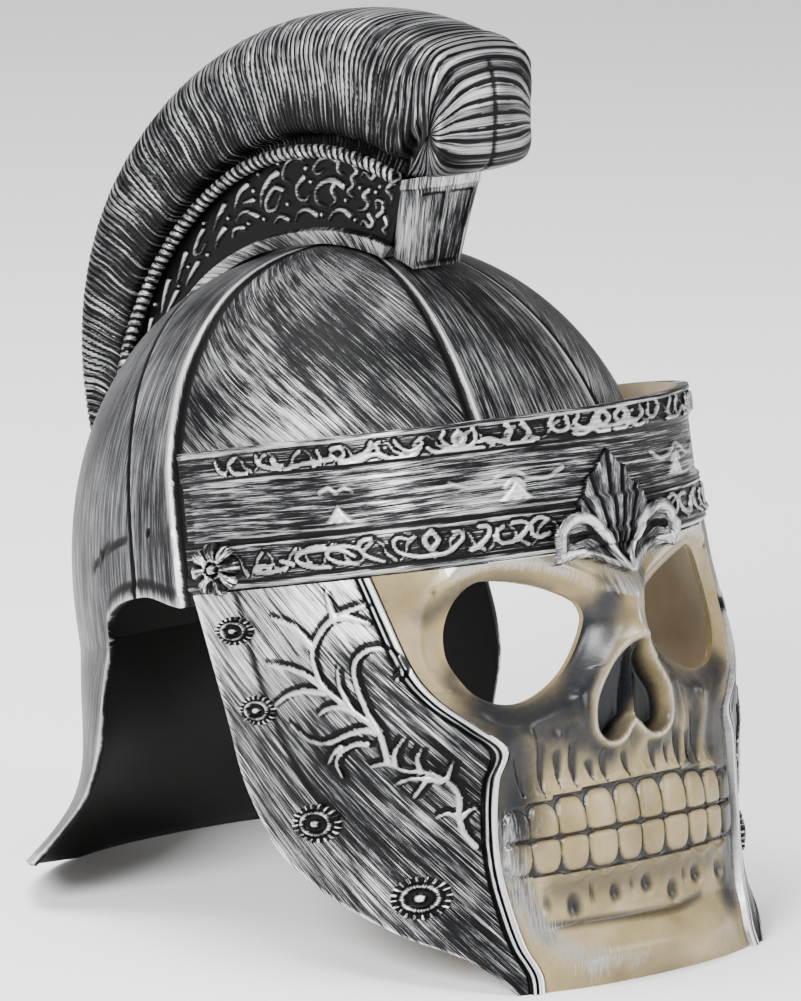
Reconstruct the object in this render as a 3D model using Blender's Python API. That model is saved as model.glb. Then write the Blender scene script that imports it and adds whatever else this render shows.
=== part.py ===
"""Gladiator helmet with a skull face mask, a moulded shell with a tall brush crest.

Every piece is modelled as worn: the face looks along -Y, Z is up and the origin lies on the mouth line, at the
front teeth. Set down by itself, the helmet leans back on its jaw and the middle of its neck guard. The empty
"helmet_rest" holds that lean and puts the middle of the whole helmet's footprint on the world's origin.
"""
from math import atan2, ceil, cos, pi, radians, sin, tan

import bmesh
import bpy
import numpy as np

# Fits, in metres
SEAT_GAP = 0.0003            # between a piece and what carries it
LAP_GAP = 0.0005             # between the mask's ends and the bowl that they lap
SEAM_GAP = 0.0006            # between the skull and the cheek guards beside it
REST_LEAN = radians(13.0)    # how far the helmet leans back when it is set down

# Bowl: dome, ear notches and neck guard
BOWL_HALF_WIDTH = 0.1031
BOWL_HALF_LENGTH = 0.1250
BOWL_CENTRE_Y = 0.1370       # behind the front teeth
BOWL_FOOT_Z = 0.0960         # where the dome starts to curve in, above the mouth line
BOWL_CROWN = 0.1385          # from there to the top
BOWL_WALL = 0.0024
BOWL_PLAN_POWER = 2.3        # roundness of its plan, 2 for an ellipse
BOWL_CROWN_POWER = 2.2
STRIP_RISE = 0.0010          # of the raised strips over the dome
STRIP_STEP = radians(0.9)    # width of a strip's edge, as an angle
FRONT_STRIP_ANGLE = radians(15.0)
SIDE_STRIP_FRONT = radians(88.0)
SIDE_STRIP_BACK = radians(100.0)
FRONT_HEM_Z = 0.1180         # lower edge of the bowl behind the band
EAR_FRONT_Z = 0.1036         # and where it leaves the band
EAR_ARCH_Z = 0.1092          # top of the ear notch
EAR_FRONT_ANGLE = radians(84.0)
EAR_BEAD_ANGLE = radians(80.0)   # the edge's bead starts here, clear of the band
EAR_ARCH_ANGLE = radians(97.0)
NECK_ANGLE = radians(114.6)  # where the neck guard's front edge starts
NECK_TOP_Z = 0.0907
NECK_CORNER_Z = 0.0112       # height of the rim at the neck guard's front corners
NECK_CORNER_ANGLE = radians(126.6)
NECK_FLARE_SIDE = 0.0320
NECK_FLARE_BACK = 0.0270
NECK_PLAN_POWER = 2.45       # roundness of the neck guard's plan
HEM_BEAD_RISE = 0.0011
HEM_BEAD_WIDTH = 0.0045
RIM_DIP = 0.0006

# Mask: brow band, skull and cheek guards, all on one curved surface
MASK_WALL = 0.0024
MASK_CENTRE_Y = 0.1150       # the point that the mask's plan angles are measured from
MASK_DEPTH = 0.1235          # from there forward to the foot of the brow band
CHIN_DROP = 0.0600           # from the mouth line down to the jaw
FACE_RISE = 0.1040           # from the mouth line up to the brow band
BAND_HEIGHT = 0.0540
BAND_FLARE = 0.0078          # how far the band's top leans forward
BAND_TOP_POWER = 2.0         # roundness of the band's plan at its top, 2 for an ellipse
BAND_END_RISE = 0.0042       # how much higher the band sits at the temples than at the front
BAND_RELIEF = 0.0016
BAND_END_TOP = radians(88.4)
BAND_END_BOTTOM = radians(91.0)
GUARD_RISE = 0.0012          # of the cheek guards over the skull's surface
GUARD_EDGE_RISE = 0.0016
GUARD_EDGE_WIDTH = 0.0045
FACE_RELIEF = 0.0100
EYE_WIDTH = 0.0530
EYE_HEIGHT = 0.0465
EYE_CENTRE_X = 0.0412
EYE_CENTRE_Z = 0.0745
TOOTH_RISE = 0.0030
TOOTH_HEIGHT = 0.0150
MOUTH_GROOVE = 0.0012        # half its height

# Fan and scroll leaves on the brow band
FAN_HEIGHT = 0.0470
FAN_HALF_WIDTH = 0.0170
FAN_LEAF_REACH = 0.0285
FAN_RISE = 0.0045
FAN_TIP_Z = 0.0938
FAN_ROOT_DROP = 0.0040

# Rosettes at the temples and toothed bosses on the cheek guards
ROSETTE_WIDTH = 0.0240
ROSETTE_HEIGHT = 0.0190
ROSETTE_RISE = 0.0050
ROSETTE_Z = 0.1170
ROSETTE_ANGLE = radians(81.5)
BOSS_WIDTH = 0.0225
BOSS_RISE = 0.0034
BOSS_STANDOFF = 0.0002

# Crest: the plate on the dome, the bracket, the rope borders and the brush
CREST_AHEAD = 0.0190         # centre of the crest's arc, ahead of the bowl's centre
CREST_SINK = 0.0695          # and below the top of the dome
CREST_FRONT_ANGLE = radians(-30.0)
CREST_BACK_ANGLE = radians(96.0)
PLATE_HEIGHT = 0.0360
PLATE_HALF_WIDTH = 0.0130
FLANGE_HEIGHT = 0.0050
FLANGE_RISE = 0.0025
ROPE_RADIUS = 0.0027
BRUSH_HEIGHT = 0.0600
BRUSH_HALF_WIDTH = 0.0260
BRUSH_OVERHANG = 0.0380
BRUSH_FLUTE = 0.0011
FLUTE_PITCH = 0.0125
BRUSH_NARROWING = 0.30
BRUSH_NARROWS_AT = 0.60
BRUSH_FRONT_DIP = 0.03
BRACKET_HALF_WIDTH = 0.0156
BRACKET_DEPTH = 0.0150
BRACKET_BEVEL_SHARE = 0.30
BRACKET_BACK_WIDTH = 0.86

# Mask sections: height as a share of the face's height from jaw to band, then shares of the half width and depth
MASK_SECTIONS = (
    # height, width, depth, power
    (0.000, 0.865, 0.890, 3.9),
    (0.146, 0.890, 0.895, 2.9),
    (0.365, 0.918, 0.919, 2.68),
    (0.578, 0.938, 0.931, 3.0),
    (0.669, 0.945, 0.947, 2.9),
    (0.889, 0.985, 0.980, 2.3),
    (1.000, 1.000, 1.000, 2.15),
)

# Edges of the cheek guard: height as a share of the face's height, plan angles in degrees from the front
GUARD_EDGES = (
    # height, front, back
    (0.000, 26.6, 30.8),
    (0.055, 26.4, 34.0),
    (0.120, 28.4, 40.5),
    (0.188, 29.6, 52.0),
    (0.299, 30.8, 68.0),
    (0.405, 30.6, 79.4),
    (0.512, 29.2, 84.5),
    (0.576, 27.2, 86.5),
    (0.638, 31.7, 87.6),
    (0.708, 37.4, 87.8),
    (0.774, 41.0, 88.0),
    (0.889, 44.2, 88.8),
    (1.000, 47.0, 90.0),
)

# Forms of the skull: places and spreads as shares of the mask's half width and the face's height
SKULL_FORMS = (
    # across, height, spread across, spread in height, rise as a share of the relief
    (0.000, 0.900, 0.110, 0.070, 0.62),    # between the brows
    (0.000, 0.790, 0.075, 0.110, 0.62),    # bridge of the nose
    (0.150, 0.640, 0.060, 0.120, 0.45),    # sides of the nose opening
    (0.115, 0.560, 0.070, 0.030, 0.42),    # its lower lobes
    (0.000, 0.640, 0.085, 0.075, -0.75),   # the nose opening
    (0.560, 0.585, 0.200, 0.050, 0.16),    # cheekbone
    (0.360, 0.500, 0.100, 0.060, -0.30),   # hollow under the cheek
    (0.000, 0.365, 0.420, 0.120, 0.16),    # the arch that the teeth stand on
    (0.000, 0.060, 0.340, 0.075, 0.62),    # chin
    (0.000, 0.160, 0.400, 0.030, -0.14),   # fold over the chin
)

# Tooth edges across the mouth, as shares of the mask's half width
TOOTH_EDGES = (0.0, 0.111, 0.247, 0.360, 0.475)

# Outline of an eye, as shares of its width and height from its middle, from the inner corner round the top
EYE_OUTLINE = (
    (-0.500, 0.060), (-0.485, 0.175), (-0.410, 0.270), (-0.170, 0.400), (0.110, 0.485), (0.260, 0.490),
    (0.385, 0.380), (0.470, 0.200), (0.500, 0.010), (0.480, -0.150), (0.390, -0.360), (0.245, -0.475),
    (0.070, -0.500), (-0.110, -0.440), (-0.290, -0.310), (-0.430, -0.120),
)

# Brow band across its height, from the foot up: share of the height and share of the relief
BAND_PROFILE = (
    (0.00, 0.20), (0.03, 1.50), (0.10, 1.80), (0.14, 0.90), (0.17, 1.30), (0.35, 1.30), (0.38, 0.20),
    (0.76, 0.20), (0.79, 1.00), (0.95, 1.00), (0.975, 1.45), (1.00, 1.20),
)

# Neck guard from its top to the rim, all as shares: drop, flare at the sides and at the back, and the front
# edge's turn to the corner
NECK_SECTIONS = (
    # drop, side flare, back flare, turn
    (0.00, 0.00, 0.00, 0.00),
    (0.20, 0.15, -0.10, 0.03),
    (0.40, 0.25, -0.15, 0.12),
    (0.58, 0.32, -0.08, 0.36),
    (0.74, 0.47, 0.14, 0.60),
    (0.88, 0.73, 0.52, 0.80),
    (1.00, 1.00, 1.00, 1.00),
)

# Crest along its arc: angle share from front to back, plate height and brush height as shares
CREST_SECTIONS = (
    (0.000, 0.92, 1.00), (0.205, 1.00, 0.89), (0.400, 0.97, 0.77), (0.570, 0.82, 0.69), (0.720, 0.66, 0.59),
    (0.825, 0.56, 0.47), (0.915, 0.42, 0.35), (1.000, 0.26, 0.20),
)

# Brush section: height share from its foot, half width share
BRACKET_OUTLINE = (
    # half width, height share
    (-0.76, 0.00), (-1.00, 0.86), (-1.06, 0.87), (-1.06, 1.00), (1.06, 1.00), (1.06, 0.87), (1.00, 0.86), (0.76, 0.00),
)

BRUSH_PROFILE = (
    (0.00, 0.42), (0.11, 0.44), (0.17, 0.72), (0.45, 0.90), (0.76, 1.00), (0.95, 0.72),
)

# Brush section at its front, where nothing runs under it
BRUSH_FRONT_PROFILE = (
    (0.00, 0.46), (0.04, 0.72), (0.17, 0.92), (0.45, 1.00), (0.76, 1.00), (0.95, 0.70),
)

# Brush ahead of the arc: shares of the overhang at its foot and top, drop of the top, and half width
BRUSH_FRONT = (
    # foot ahead, top ahead, top drop, width
    (0.38, 0.24, 0.08, 1.00),
    (0.74, 0.28, 0.14, 1.00),
    (0.92, 0.38, 0.20, 0.84),
    (1.00, 0.44, 0.28, 0.48),
)

# Bosses on the cheek guard: plan angle in degrees, share of the face's height, width and height shares
BOSSES = (
    (79.5, 0.932, 0.92, 0.50),
    (77.6, 0.742, 0.92, 0.52),
    (67.0, 0.466, 1.08, 0.68),
    (46.6, 0.268, 1.06, 0.74),
)

SILVER = ((0.42, 0.43, 0.44, 1.0), 0.75, 0.38)
DARK_SILVER = ((0.16, 0.16, 0.17, 1.0), 0.60, 0.42)
BONE = ((0.55, 0.46, 0.33, 1.0), 0.0, 0.35)


def table_at(rows, share):
    """Row of a table at a share between its rows, on a smooth curve through them."""
    rows = np.asarray(rows, float)
    keys = rows[:, 0]
    share = min(max(share, keys[0]), keys[-1])
    index = int(np.clip(np.searchsorted(keys, share) - 1, 0, len(keys) - 2))
    before = max(index - 1, 0)
    after = min(index + 2, len(keys) - 1)
    span = keys[index + 1] - keys[index]
    slope_a = (rows[index + 1] - rows[before]) / (keys[index + 1] - keys[before]) * span
    slope_b = (rows[after] - rows[index]) / (keys[after] - keys[index]) * span
    t = (share - keys[index]) / span
    return ((2 * t**3 - 3 * t**2 + 1) * rows[index] + (t**3 - 2 * t**2 + t) * slope_a
            + (3 * t**2 - 2 * t**3) * rows[index + 1] + (t**3 - t**2) * slope_b)


def plan_radius(angle, half_width, depth, power):
    """Distance from a plan's centre to its rounded outline, at an angle from the front."""
    across = abs(sin(angle)) / half_width
    along = abs(cos(angle)) / depth
    return (across**power + along**power) ** (-1 / power)


def smooth_step(value, start, end):
    """0 before start, 1 after end, with an even slope between."""
    t = min(max((value - start) / (end - start), 0.0), 1.0)
    return t * t * (3 - 2 * t)


# Rest: the helmet stands on its jaw and on the back of its neck guard

def floor_z(y):
    """Height of the surface that the leaning helmet stands on, under a point y behind the teeth."""
    return -CHIN_DROP + y * tan(REST_LEAN)


def above_floor(points):
    """The points, with none lower than the surface that the helmet stands on."""
    points = np.asarray(points, float)
    points[:, 2] = np.maximum(points[:, 2], floor_z(points[:, 1]))
    return points


# Mesh helpers

def add_object(name, points, faces, finish, parent, smooth_angle=radians(35.0)):
    """An object of its own with its own material, from points as worn."""
    mesh = bpy.data.meshes.new(name)
    mesh.from_pydata([tuple(point) for point in points], [], [tuple(face) for face in faces])
    work = bmesh.new()
    work.from_mesh(mesh)
    bmesh.ops.recalc_face_normals(work, faces=work.faces)
    if work.calc_volume(signed=True) < 0:
        bmesh.ops.reverse_faces(work, faces=work.faces)
    bmesh.ops.triangulate(work, faces=work.faces)
    work.to_mesh(mesh)
    work.free()
    mesh.shade_smooth()
    mesh.set_sharp_from_angle(angle=smooth_angle)
    mesh.materials.append(make_material(name, finish))
    piece = bpy.data.objects.new(name, mesh)
    bpy.context.scene.collection.objects.link(piece)
    piece.parent = parent
    return piece


def make_material(name, finish):
    """A Principled material from colour, metallic and roughness."""
    colour, metallic, roughness = finish
    material = bpy.data.materials.new(name + "_finish")
    material.use_nodes = True
    shader = material.node_tree.nodes["Principled BSDF"]
    shader.inputs["Base Color"].default_value = colour
    shader.inputs["Metallic"].default_value = metallic
    shader.inputs["Roughness"].default_value = roughness
    return material


def grid_faces(rows, columns, start=0, wrap=False):
    """Quads of a grid of points that is stored row by row."""
    faces = []
    last = columns if wrap else columns - 1
    for row in range(rows - 1):
        for column in range(last):
            beside = (column + 1) % columns
            faces.append((start + row * columns + column, start + row * columns + beside,
                          start + (row + 1) * columns + beside, start + (row + 1) * columns + column))
    return faces


def vertex_normals(points, faces):
    """Unit normals at the points, from the faces round each."""
    normals = np.zeros_like(points)
    for face in faces:
        corners = points[list(face)]
        normal = np.zeros(3)
        for index in range(len(face)):
            normal += np.cross(corners[index], corners[(index + 1) % len(face)])
        normals[list(face)] += normal
    lengths = np.linalg.norm(normals, axis=1, keepdims=True)
    return normals / np.maximum(lengths, 1e-12)


def thicken(points, faces, wall):
    """A closed shell: the given outer surface, its inner copy one wall away, and a strip round every edge."""
    points = np.asarray(points, float)
    normals = vertex_normals(points, faces)
    count = len(points)
    solid_points = np.vstack([points, points - normals * wall])
    solid_faces = [tuple(face) for face in faces]
    solid_faces += [tuple(count + index for index in reversed(face)) for face in faces]
    used = set()
    for face in faces:
        for index in range(len(face)):
            used.add((face[index], face[(index + 1) % len(face)]))
    for first, second in sorted(used):
        if (second, first) not in used:
            solid_faces.append((second, first, first + count, second + count))
    return solid_points, solid_faces


def level_top(shell_points, columns):
    """The points of a thickened grid, with the inner side of its last row no higher than the outer side."""
    count = len(shell_points) // 2
    outer = shell_points[count - columns:count, 2]
    inner = shell_points[2 * count - columns:, 2]
    shell_points[2 * count - columns:, 2] = np.minimum(inner, outer)
    return shell_points


def loft(sections):
    """A closed body through rings of equal length, with a flat face at each end."""
    rings = np.asarray(sections, float)
    count = rings.shape[1]
    faces = grid_faces(len(rings), count, wrap=True)
    faces.append(tuple(range(count)))
    faces.append(tuple(reversed(range((len(rings) - 1) * count, len(rings) * count))))
    return rings.reshape(-1, 3), faces


# Bowl

def bowl_reach(z):
    """Share of the bowl's plan that its dome keeps at a height."""
    lift = min(max((z - BOWL_FOOT_Z) / BOWL_CROWN, 0.0), 1.0)
    return (1 - lift**BOWL_CROWN_POWER) ** (1 / BOWL_CROWN_POWER)


def bowl_plan(angle, grow=0.0, grow_back=0.0, power=BOWL_PLAN_POWER):
    """Radius of the bowl's plan at an angle from the front."""
    return plan_radius(angle, BOWL_HALF_WIDTH + grow, BOWL_HALF_LENGTH + grow_back, power)


def strip_rise(angle):
    """How far the raised strips stand out at an angle from the front."""
    turn = abs(angle)
    front = 1 - smooth_step(turn, FRONT_STRIP_ANGLE - STRIP_STEP / 2, FRONT_STRIP_ANGLE + STRIP_STEP / 2)
    side = smooth_step(turn, SIDE_STRIP_FRONT - STRIP_STEP / 2, SIDE_STRIP_FRONT + STRIP_STEP / 2)
    side *= 1 - smooth_step(turn, SIDE_STRIP_BACK - STRIP_STEP / 2, SIDE_STRIP_BACK + STRIP_STEP / 2)
    return STRIP_RISE * (front + side)


def bowl_point(angle, z, rise=0.0):
    """Point on the bowl's outside, over the neck guard."""
    radius = (bowl_plan(angle) + rise) * bowl_reach(z)
    return (radius * sin(angle), BOWL_CENTRE_Y - radius * cos(angle), z)


def bowl_top(x, y):
    """Height of the dome's outside, strips included, over a point."""
    angle = atan2(x, BOWL_CENTRE_Y - y)
    share = np.hypot(x, BOWL_CENTRE_Y - y) / bowl_plan(angle)
    lift = max(1 - share**BOWL_CROWN_POWER, 0.0) ** (1 / BOWL_CROWN_POWER)
    return BOWL_FOOT_Z + BOWL_CROWN * lift + STRIP_RISE


def hem_z(angle):
    """Height of the bowl's lower edge, from behind the band to the neck guard."""
    turn = abs(angle)
    if turn <= EAR_ARCH_ANGLE:
        drop = smooth_step(turn, EAR_FRONT_ANGLE * 0.75, EAR_FRONT_ANGLE)
        lift = smooth_step(turn, EAR_FRONT_ANGLE, EAR_ARCH_ANGLE)
        return FRONT_HEM_Z + (EAR_FRONT_Z - FRONT_HEM_Z) * drop + (EAR_ARCH_Z - EAR_FRONT_Z) * lift
    share = min((turn - EAR_ARCH_ANGLE) / (NECK_ANGLE - EAR_ARCH_ANGLE), 1.0)
    return NECK_TOP_Z + (EAR_ARCH_Z - NECK_TOP_Z) * max(1 - share**2.5, 0.0) ** 0.4


def neck_shares():
    """Columns of the neck guard from its front edge to its middle; the first ones carry the edge's bead."""
    bead = HEM_BEAD_WIDTH / (bowl_plan(pi / 2) * (pi - NECK_ANGLE))
    return [0.0, bead * 0.75, bead, 0.20, 0.40, 0.60, 0.80, 1.0]


def bowl_angles():
    """Columns round the bowl, from one middle of the back round the front to the other."""
    half_step = STRIP_STEP / 2
    front = [0.0, FRONT_STRIP_ANGLE - half_step, FRONT_STRIP_ANGLE + half_step]
    front += [radians(value) for value in (28, 41, 54, 67, 80)]
    front += [SIDE_STRIP_FRONT - half_step, SIDE_STRIP_FRONT + half_step]
    front += [(SIDE_STRIP_FRONT + SIDE_STRIP_BACK) / 2, SIDE_STRIP_BACK - half_step, SIDE_STRIP_BACK + half_step]
    front += [radians(value) for value in (104, 109, 112.8)]
    back = [NECK_ANGLE + (pi - NECK_ANGLE) * share for share in neck_shares()]
    half = front + back
    return [-angle for angle in reversed(half[1:-1])] + half


def hem_rows(top_z, angle):
    """Heights of the last rows over the bowl's edge; the last two carry its bead."""
    edge = hem_z(angle)
    return [(top_z + edge) / 2, edge + HEM_BEAD_WIDTH, edge + HEM_BEAD_WIDTH * 0.75, edge]


def neck_point(section, share, side):
    """Point on the neck guard's outside: its section from top to rim, its share from front edge to middle."""
    drop, flare_side, flare_back, turn = section
    front_angle = NECK_ANGLE + (NECK_CORNER_ANGLE - NECK_ANGLE) * turn
    angle = front_angle + (pi - front_angle) * share
    power = BOWL_PLAN_POWER + (NECK_PLAN_POWER - BOWL_PLAN_POWER) * drop
    radius = bowl_plan(angle, NECK_FLARE_SIDE * flare_side, NECK_FLARE_BACK * flare_back, power)
    y = BOWL_CENTRE_Y - radius * cos(angle)
    rim_back_z = floor_z(BOWL_CENTRE_Y + BOWL_HALF_LENGTH + NECK_FLARE_BACK) - RIM_DIP
    rim_z = NECK_CORNER_Z + (rim_back_z - NECK_CORNER_Z) * smooth_step(share, 0.0, 0.8)
    return (side * radius * sin(angle), y, NECK_TOP_Z + (rim_z - NECK_TOP_Z) * drop)


def build_bowl(parent):
    """One shell: dome with raised strips, ear notches and flared neck guard."""
    angles = bowl_angles()
    columns = len(angles)
    points = []
    rises = (82, 72, 62, 52, 42, 32, 22, 15)
    heights = [BOWL_FOOT_Z + BOWL_CROWN * sin(radians(rise)) ** (2 / BOWL_CROWN_POWER) for rise in rises]
    for z in heights:
        points += [bowl_point(angle, z, strip_rise(angle)) for angle in angles]
    for row in range(4):
        for angle in angles:
            z = hem_rows(heights[-1], angle)[row]
            bead = HEM_BEAD_RISE * smooth_step(abs(angle), EAR_BEAD_ANGLE, SIDE_STRIP_FRONT) if row >= 2 else 0.0
            points.append(bowl_point(angle, z, max(strip_rise(angle), bead)))
    rows = len(heights) + 4
    faces = grid_faces(rows, columns, wrap=True)
    top = len(points)
    points.append((0.0, BOWL_CENTRE_Y, BOWL_FOOT_Z + BOWL_CROWN + STRIP_RISE))
    faces += [((column + 1) % columns, column, top) for column in range(columns)]
    hem_start = (rows - 1) * columns
    shares = neck_shares()
    middle = columns - 1
    last = {}
    for side in (-1, 1):
        for index in range(len(shares)):
            column = middle - len(shares) + 1 + index
            last[side, index] = hem_start + (column if side > 0 else (columns - 2 - column) % columns)
    for section in NECK_SECTIONS[1:]:
        current = {}
        for side in (-1, 1):
            for index, share in enumerate(shares):
                if side > 0 and index == len(shares) - 1:
                    current[side, index] = current[-1, index]
                    continue
                current[side, index] = len(points)
                points.append(neck_point(section, share, side))
        for side in (-1, 1):
            for index in range(len(shares) - 1):
                quad = (last[side, index], last[side, index + 1], current[side, index + 1], current[side, index])
                faces.append(quad if side > 0 else tuple(reversed(quad)))
        last = current
    outward = [tuple(reversed(face)) for face in faces]
    shell_points, shell_faces = thicken(points, outward, BOWL_WALL)
    return add_object("helmet_bowl", above_floor(shell_points), shell_faces, SILVER, parent)


# Mask surface

def face_z(share):
    """Height of a share of the face, from the jaw at 0 to the band at 1."""
    return -CHIN_DROP + (CHIN_DROP + FACE_RISE) * share


def face_share(z):
    """Share of the face's height at a height."""
    return (z + CHIN_DROP) / (CHIN_DROP + FACE_RISE)


def mask_half_width():
    """Half width of the mask where its ends lap the bowl."""
    lap_angle = atan2(BOWL_HALF_WIDTH, BOWL_CENTRE_Y - MASK_CENTRE_Y)
    return bowl_plan(lap_angle) * sin(lap_angle) + LAP_GAP + MASK_WALL


def mask_point(angle, z, rise=0.0):
    """Point on the mask's base surface, moved out by a rise."""
    if z > FACE_RISE:
        share = (z - FACE_RISE) / BAND_HEIGHT
        power = MASK_SECTIONS[-1][3] + (BAND_TOP_POWER - MASK_SECTIONS[-1][3]) * share
        radius = plan_radius(angle, mask_half_width(), MASK_DEPTH + BAND_FLARE * share, power)
    else:
        section = table_at(MASK_SECTIONS, face_share(z))
        radius = plan_radius(angle, mask_half_width() * section[1], MASK_DEPTH * section[2], section[3])
    return np.array(((radius + rise) * sin(angle), MASK_CENTRE_Y - (radius + rise) * cos(angle), z))


def end_rise(angle):
    """How much higher the band's foot lies at a plan angle than at the front."""
    return BAND_END_RISE * abs(sin(angle)) ** 1.4


def face_row(angle, z):
    """Height of a row of the face at a plan angle: the rows under the band follow its foot."""
    return z + end_rise(angle) * smooth_step(face_share(z), 0.80, 1.0)


def guard_edges(z):
    """Plan angles of the cheek guard's front and back edge at a height."""
    row = table_at(GUARD_EDGES, face_share(z))
    return radians(row[1]), radians(row[2])


# Brow band and fan

def band_outer(angle, share, rise=0.0):
    """Point on the band's outside without its relief, at a share of its height."""
    point = mask_point(angle, FACE_RISE + SEAT_GAP + (BAND_HEIGHT - SEAT_GAP) * share, rise)
    point[2] += end_rise(angle)
    return point


def band_seat():
    """Rise over the mask's surface at which a piece clears the band's relief."""
    return BAND_RELIEF * max(relief for share, relief in BAND_PROFILE) + SEAT_GAP


def build_band(parent):
    """The curved band over the brow, with its lip and two raised borders."""
    count = 36
    points = []
    for share, relief in BAND_PROFILE:
        end = BAND_END_BOTTOM + (BAND_END_TOP - BAND_END_BOTTOM) * share
        for index in range(count + 1):
            angle = -end + 2 * end * index / count
            points.append(band_outer(angle, share, BAND_RELIEF * relief))
    inner = []
    for share in (1.0, 0.0):
        end = BAND_END_BOTTOM + (BAND_END_TOP - BAND_END_BOTTOM) * share
        for index in range(count + 1):
            angle = -end + 2 * end * index / count
            inner.append(band_outer(angle, share, -MASK_WALL))
    rings = np.asarray(points + inner, float).reshape(len(BAND_PROFILE) + 2, count + 1, 3)
    sections = rings.transpose(1, 0, 2)
    ring_points, faces = loft(sections)
    return add_object("brow_band", ring_points, faces, SILVER, parent)


def fan_top(x):
    """Upper outline of the fan and its scroll leaves over a point across."""
    across = abs(x)
    if across < FAN_HALF_WIDTH:
        return FAN_TIP_Z + FAN_HEIGHT * (1 - 0.52 * across / FAN_HALF_WIDTH)
    share = (across - FAN_HALF_WIDTH) / (FAN_LEAF_REACH - FAN_HALF_WIDTH)
    return FAN_TIP_Z + FAN_HEIGHT * (0.30 + 0.18 * max(1 - share**3, 0.0) ** 0.5)


def fan_bottom(x):
    """Lower outline of the fan and its scroll leaves."""
    across = abs(x) / FAN_LEAF_REACH
    arch = sin(pi * min(across, 1.0)) * 0.05
    return FAN_TIP_Z + FAN_HEIGHT * (0.22 * smooth_step(across, 0.0, 0.3) + arch)


def fan_relief(x, z):
    """Height of the fan's ridges and leaves as a share of its rise."""
    spread = atan2(x, max(z - FAN_TIP_Z + FAN_ROOT_DROP, 1e-4))
    ridges = 0.75 + 0.25 * cos(spread * 16)
    leaf = smooth_step(abs(spread), radians(36), radians(46))
    leaf_form = 0.70 + 0.30 * cos((z - FAN_TIP_Z) / FAN_HEIGHT * 22)
    return ridges * (1 - leaf) + leaf_form * leaf


def build_fan(parent):
    """Palmette with a scroll leaf on each side, seated on the band's front."""
    columns = 21
    rows = 7
    front = []
    back = []
    for row in range(rows):
        for column in range(columns):
            x = FAN_LEAF_REACH * (2 * column / (columns - 1) - 1)
            z = fan_bottom(x) + (fan_top(x) - fan_bottom(x)) * row / (rows - 1)
            angle = atan2(x, MASK_DEPTH)
            edge = min(row, rows - 1 - row, column, columns - 1 - column)
            rise = FAN_RISE * fan_relief(x, z) * (0.45 if edge == 0 else 1.0)
            rise *= 1 - 0.55 * smooth_step(z, FAN_TIP_Z, FAN_TIP_Z + FAN_HEIGHT)
            base = mask_point(angle, max(z, FACE_RISE), band_seat())
            base[1] = min(base[1], mask_point(angle, min(z, FACE_RISE))[1] - face_relief(x, z) - 2 * SEAT_GAP)
            base[2] = z
            back.append(base)
            front.append(base + np.array((0.0, -rise, 0.0)))
    count = rows * columns
    quads = grid_faces(rows, columns)
    faces = quads + [tuple(count + index for index in reversed(face)) for face in quads]
    rim = [column for column in range(columns)]
    rim += [row * columns + columns - 1 for row in range(1, rows)]
    rim += [(rows - 1) * columns + column for column in range(columns - 2, -1, -1)]
    rim += [row * columns for row in range(rows - 2, 0, -1)]
    for index, first in enumerate(rim):
        second = rim[(index + 1) % len(rim)]
        faces.append((second, first, first + count, second + count))
    return add_object("brow_fan", np.asarray(front + back), faces, SILVER, parent)


# Skull

def eye_share(x, z):
    """Distance from an eye's middle as a share of its round outline, under 1 inside the eye."""
    across = (abs(x) - EYE_CENTRE_X) / (EYE_WIDTH / 2)
    up = (z - EYE_CENTRE_Z) / (EYE_HEIGHT / 2)
    return np.hypot(across, up)


def tooth_form(x, z):
    """Height of the teeth as a share of their rise: two rows with a groove between them."""
    across = abs(x) / mask_half_width()
    if across >= TOOTH_EDGES[-1] or abs(z) > TOOTH_HEIGHT:
        return 0.0
    index = int(np.searchsorted(TOOTH_EDGES, across, side="right")) - 1
    middle = (TOOTH_EDGES[index] + TOOTH_EDGES[index + 1]) / 2
    half = (TOOTH_EDGES[index + 1] - TOOTH_EDGES[index]) / 2
    side = max(1 - (abs(across - middle) / half) ** 3, 0.0)
    share = abs(z) / TOOTH_HEIGHT
    crown = smooth_step(abs(z), 0.0, MOUTH_GROOVE * 1.6) * max(1 - share**4, 0.0) ** 0.5
    return side * crown


def face_relief(x, z):
    """How far the skull stands out over the mask's surface, forward along -Y."""
    across = abs(x) / mask_half_width()
    share = face_share(z)
    total = 0.0
    for place, height, spread, spread_up, rise in SKULL_FORMS:
        total += rise * np.exp(-((across - place) / spread) ** 2 - ((share - height) / spread_up) ** 2)
    socket = -0.45 * (1 - smooth_step(eye_share(x, z), 1.0, 1.32)) * (1 - smooth_step(across, 0.40, 0.62))
    return FACE_RELIEF * (total + socket) + TOOTH_RISE * tooth_form(x, z)


def skull_rows():
    """Heights of the skull's rows, closer over the teeth."""
    face = CHIN_DROP + FACE_RISE
    low = [-CHIN_DROP + share * face for share in (0.0, 0.04, 0.09, 0.14, 0.18, 0.225)]
    teeth = [-TOOTH_HEIGHT, -TOOTH_HEIGHT * 0.85, -TOOTH_HEIGHT * 0.45, -MOUTH_GROOVE, MOUTH_GROOVE,
             TOOTH_HEIGHT * 0.45, TOOTH_HEIGHT * 0.85, TOOTH_HEIGHT]
    high = [-CHIN_DROP + share * face for share in
            (0.512, 0.543, 0.576, 0.638, 0.708, 0.749, 0.79, 0.84, 0.889, 0.945, 1.0)]
    return low + teeth + high


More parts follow.
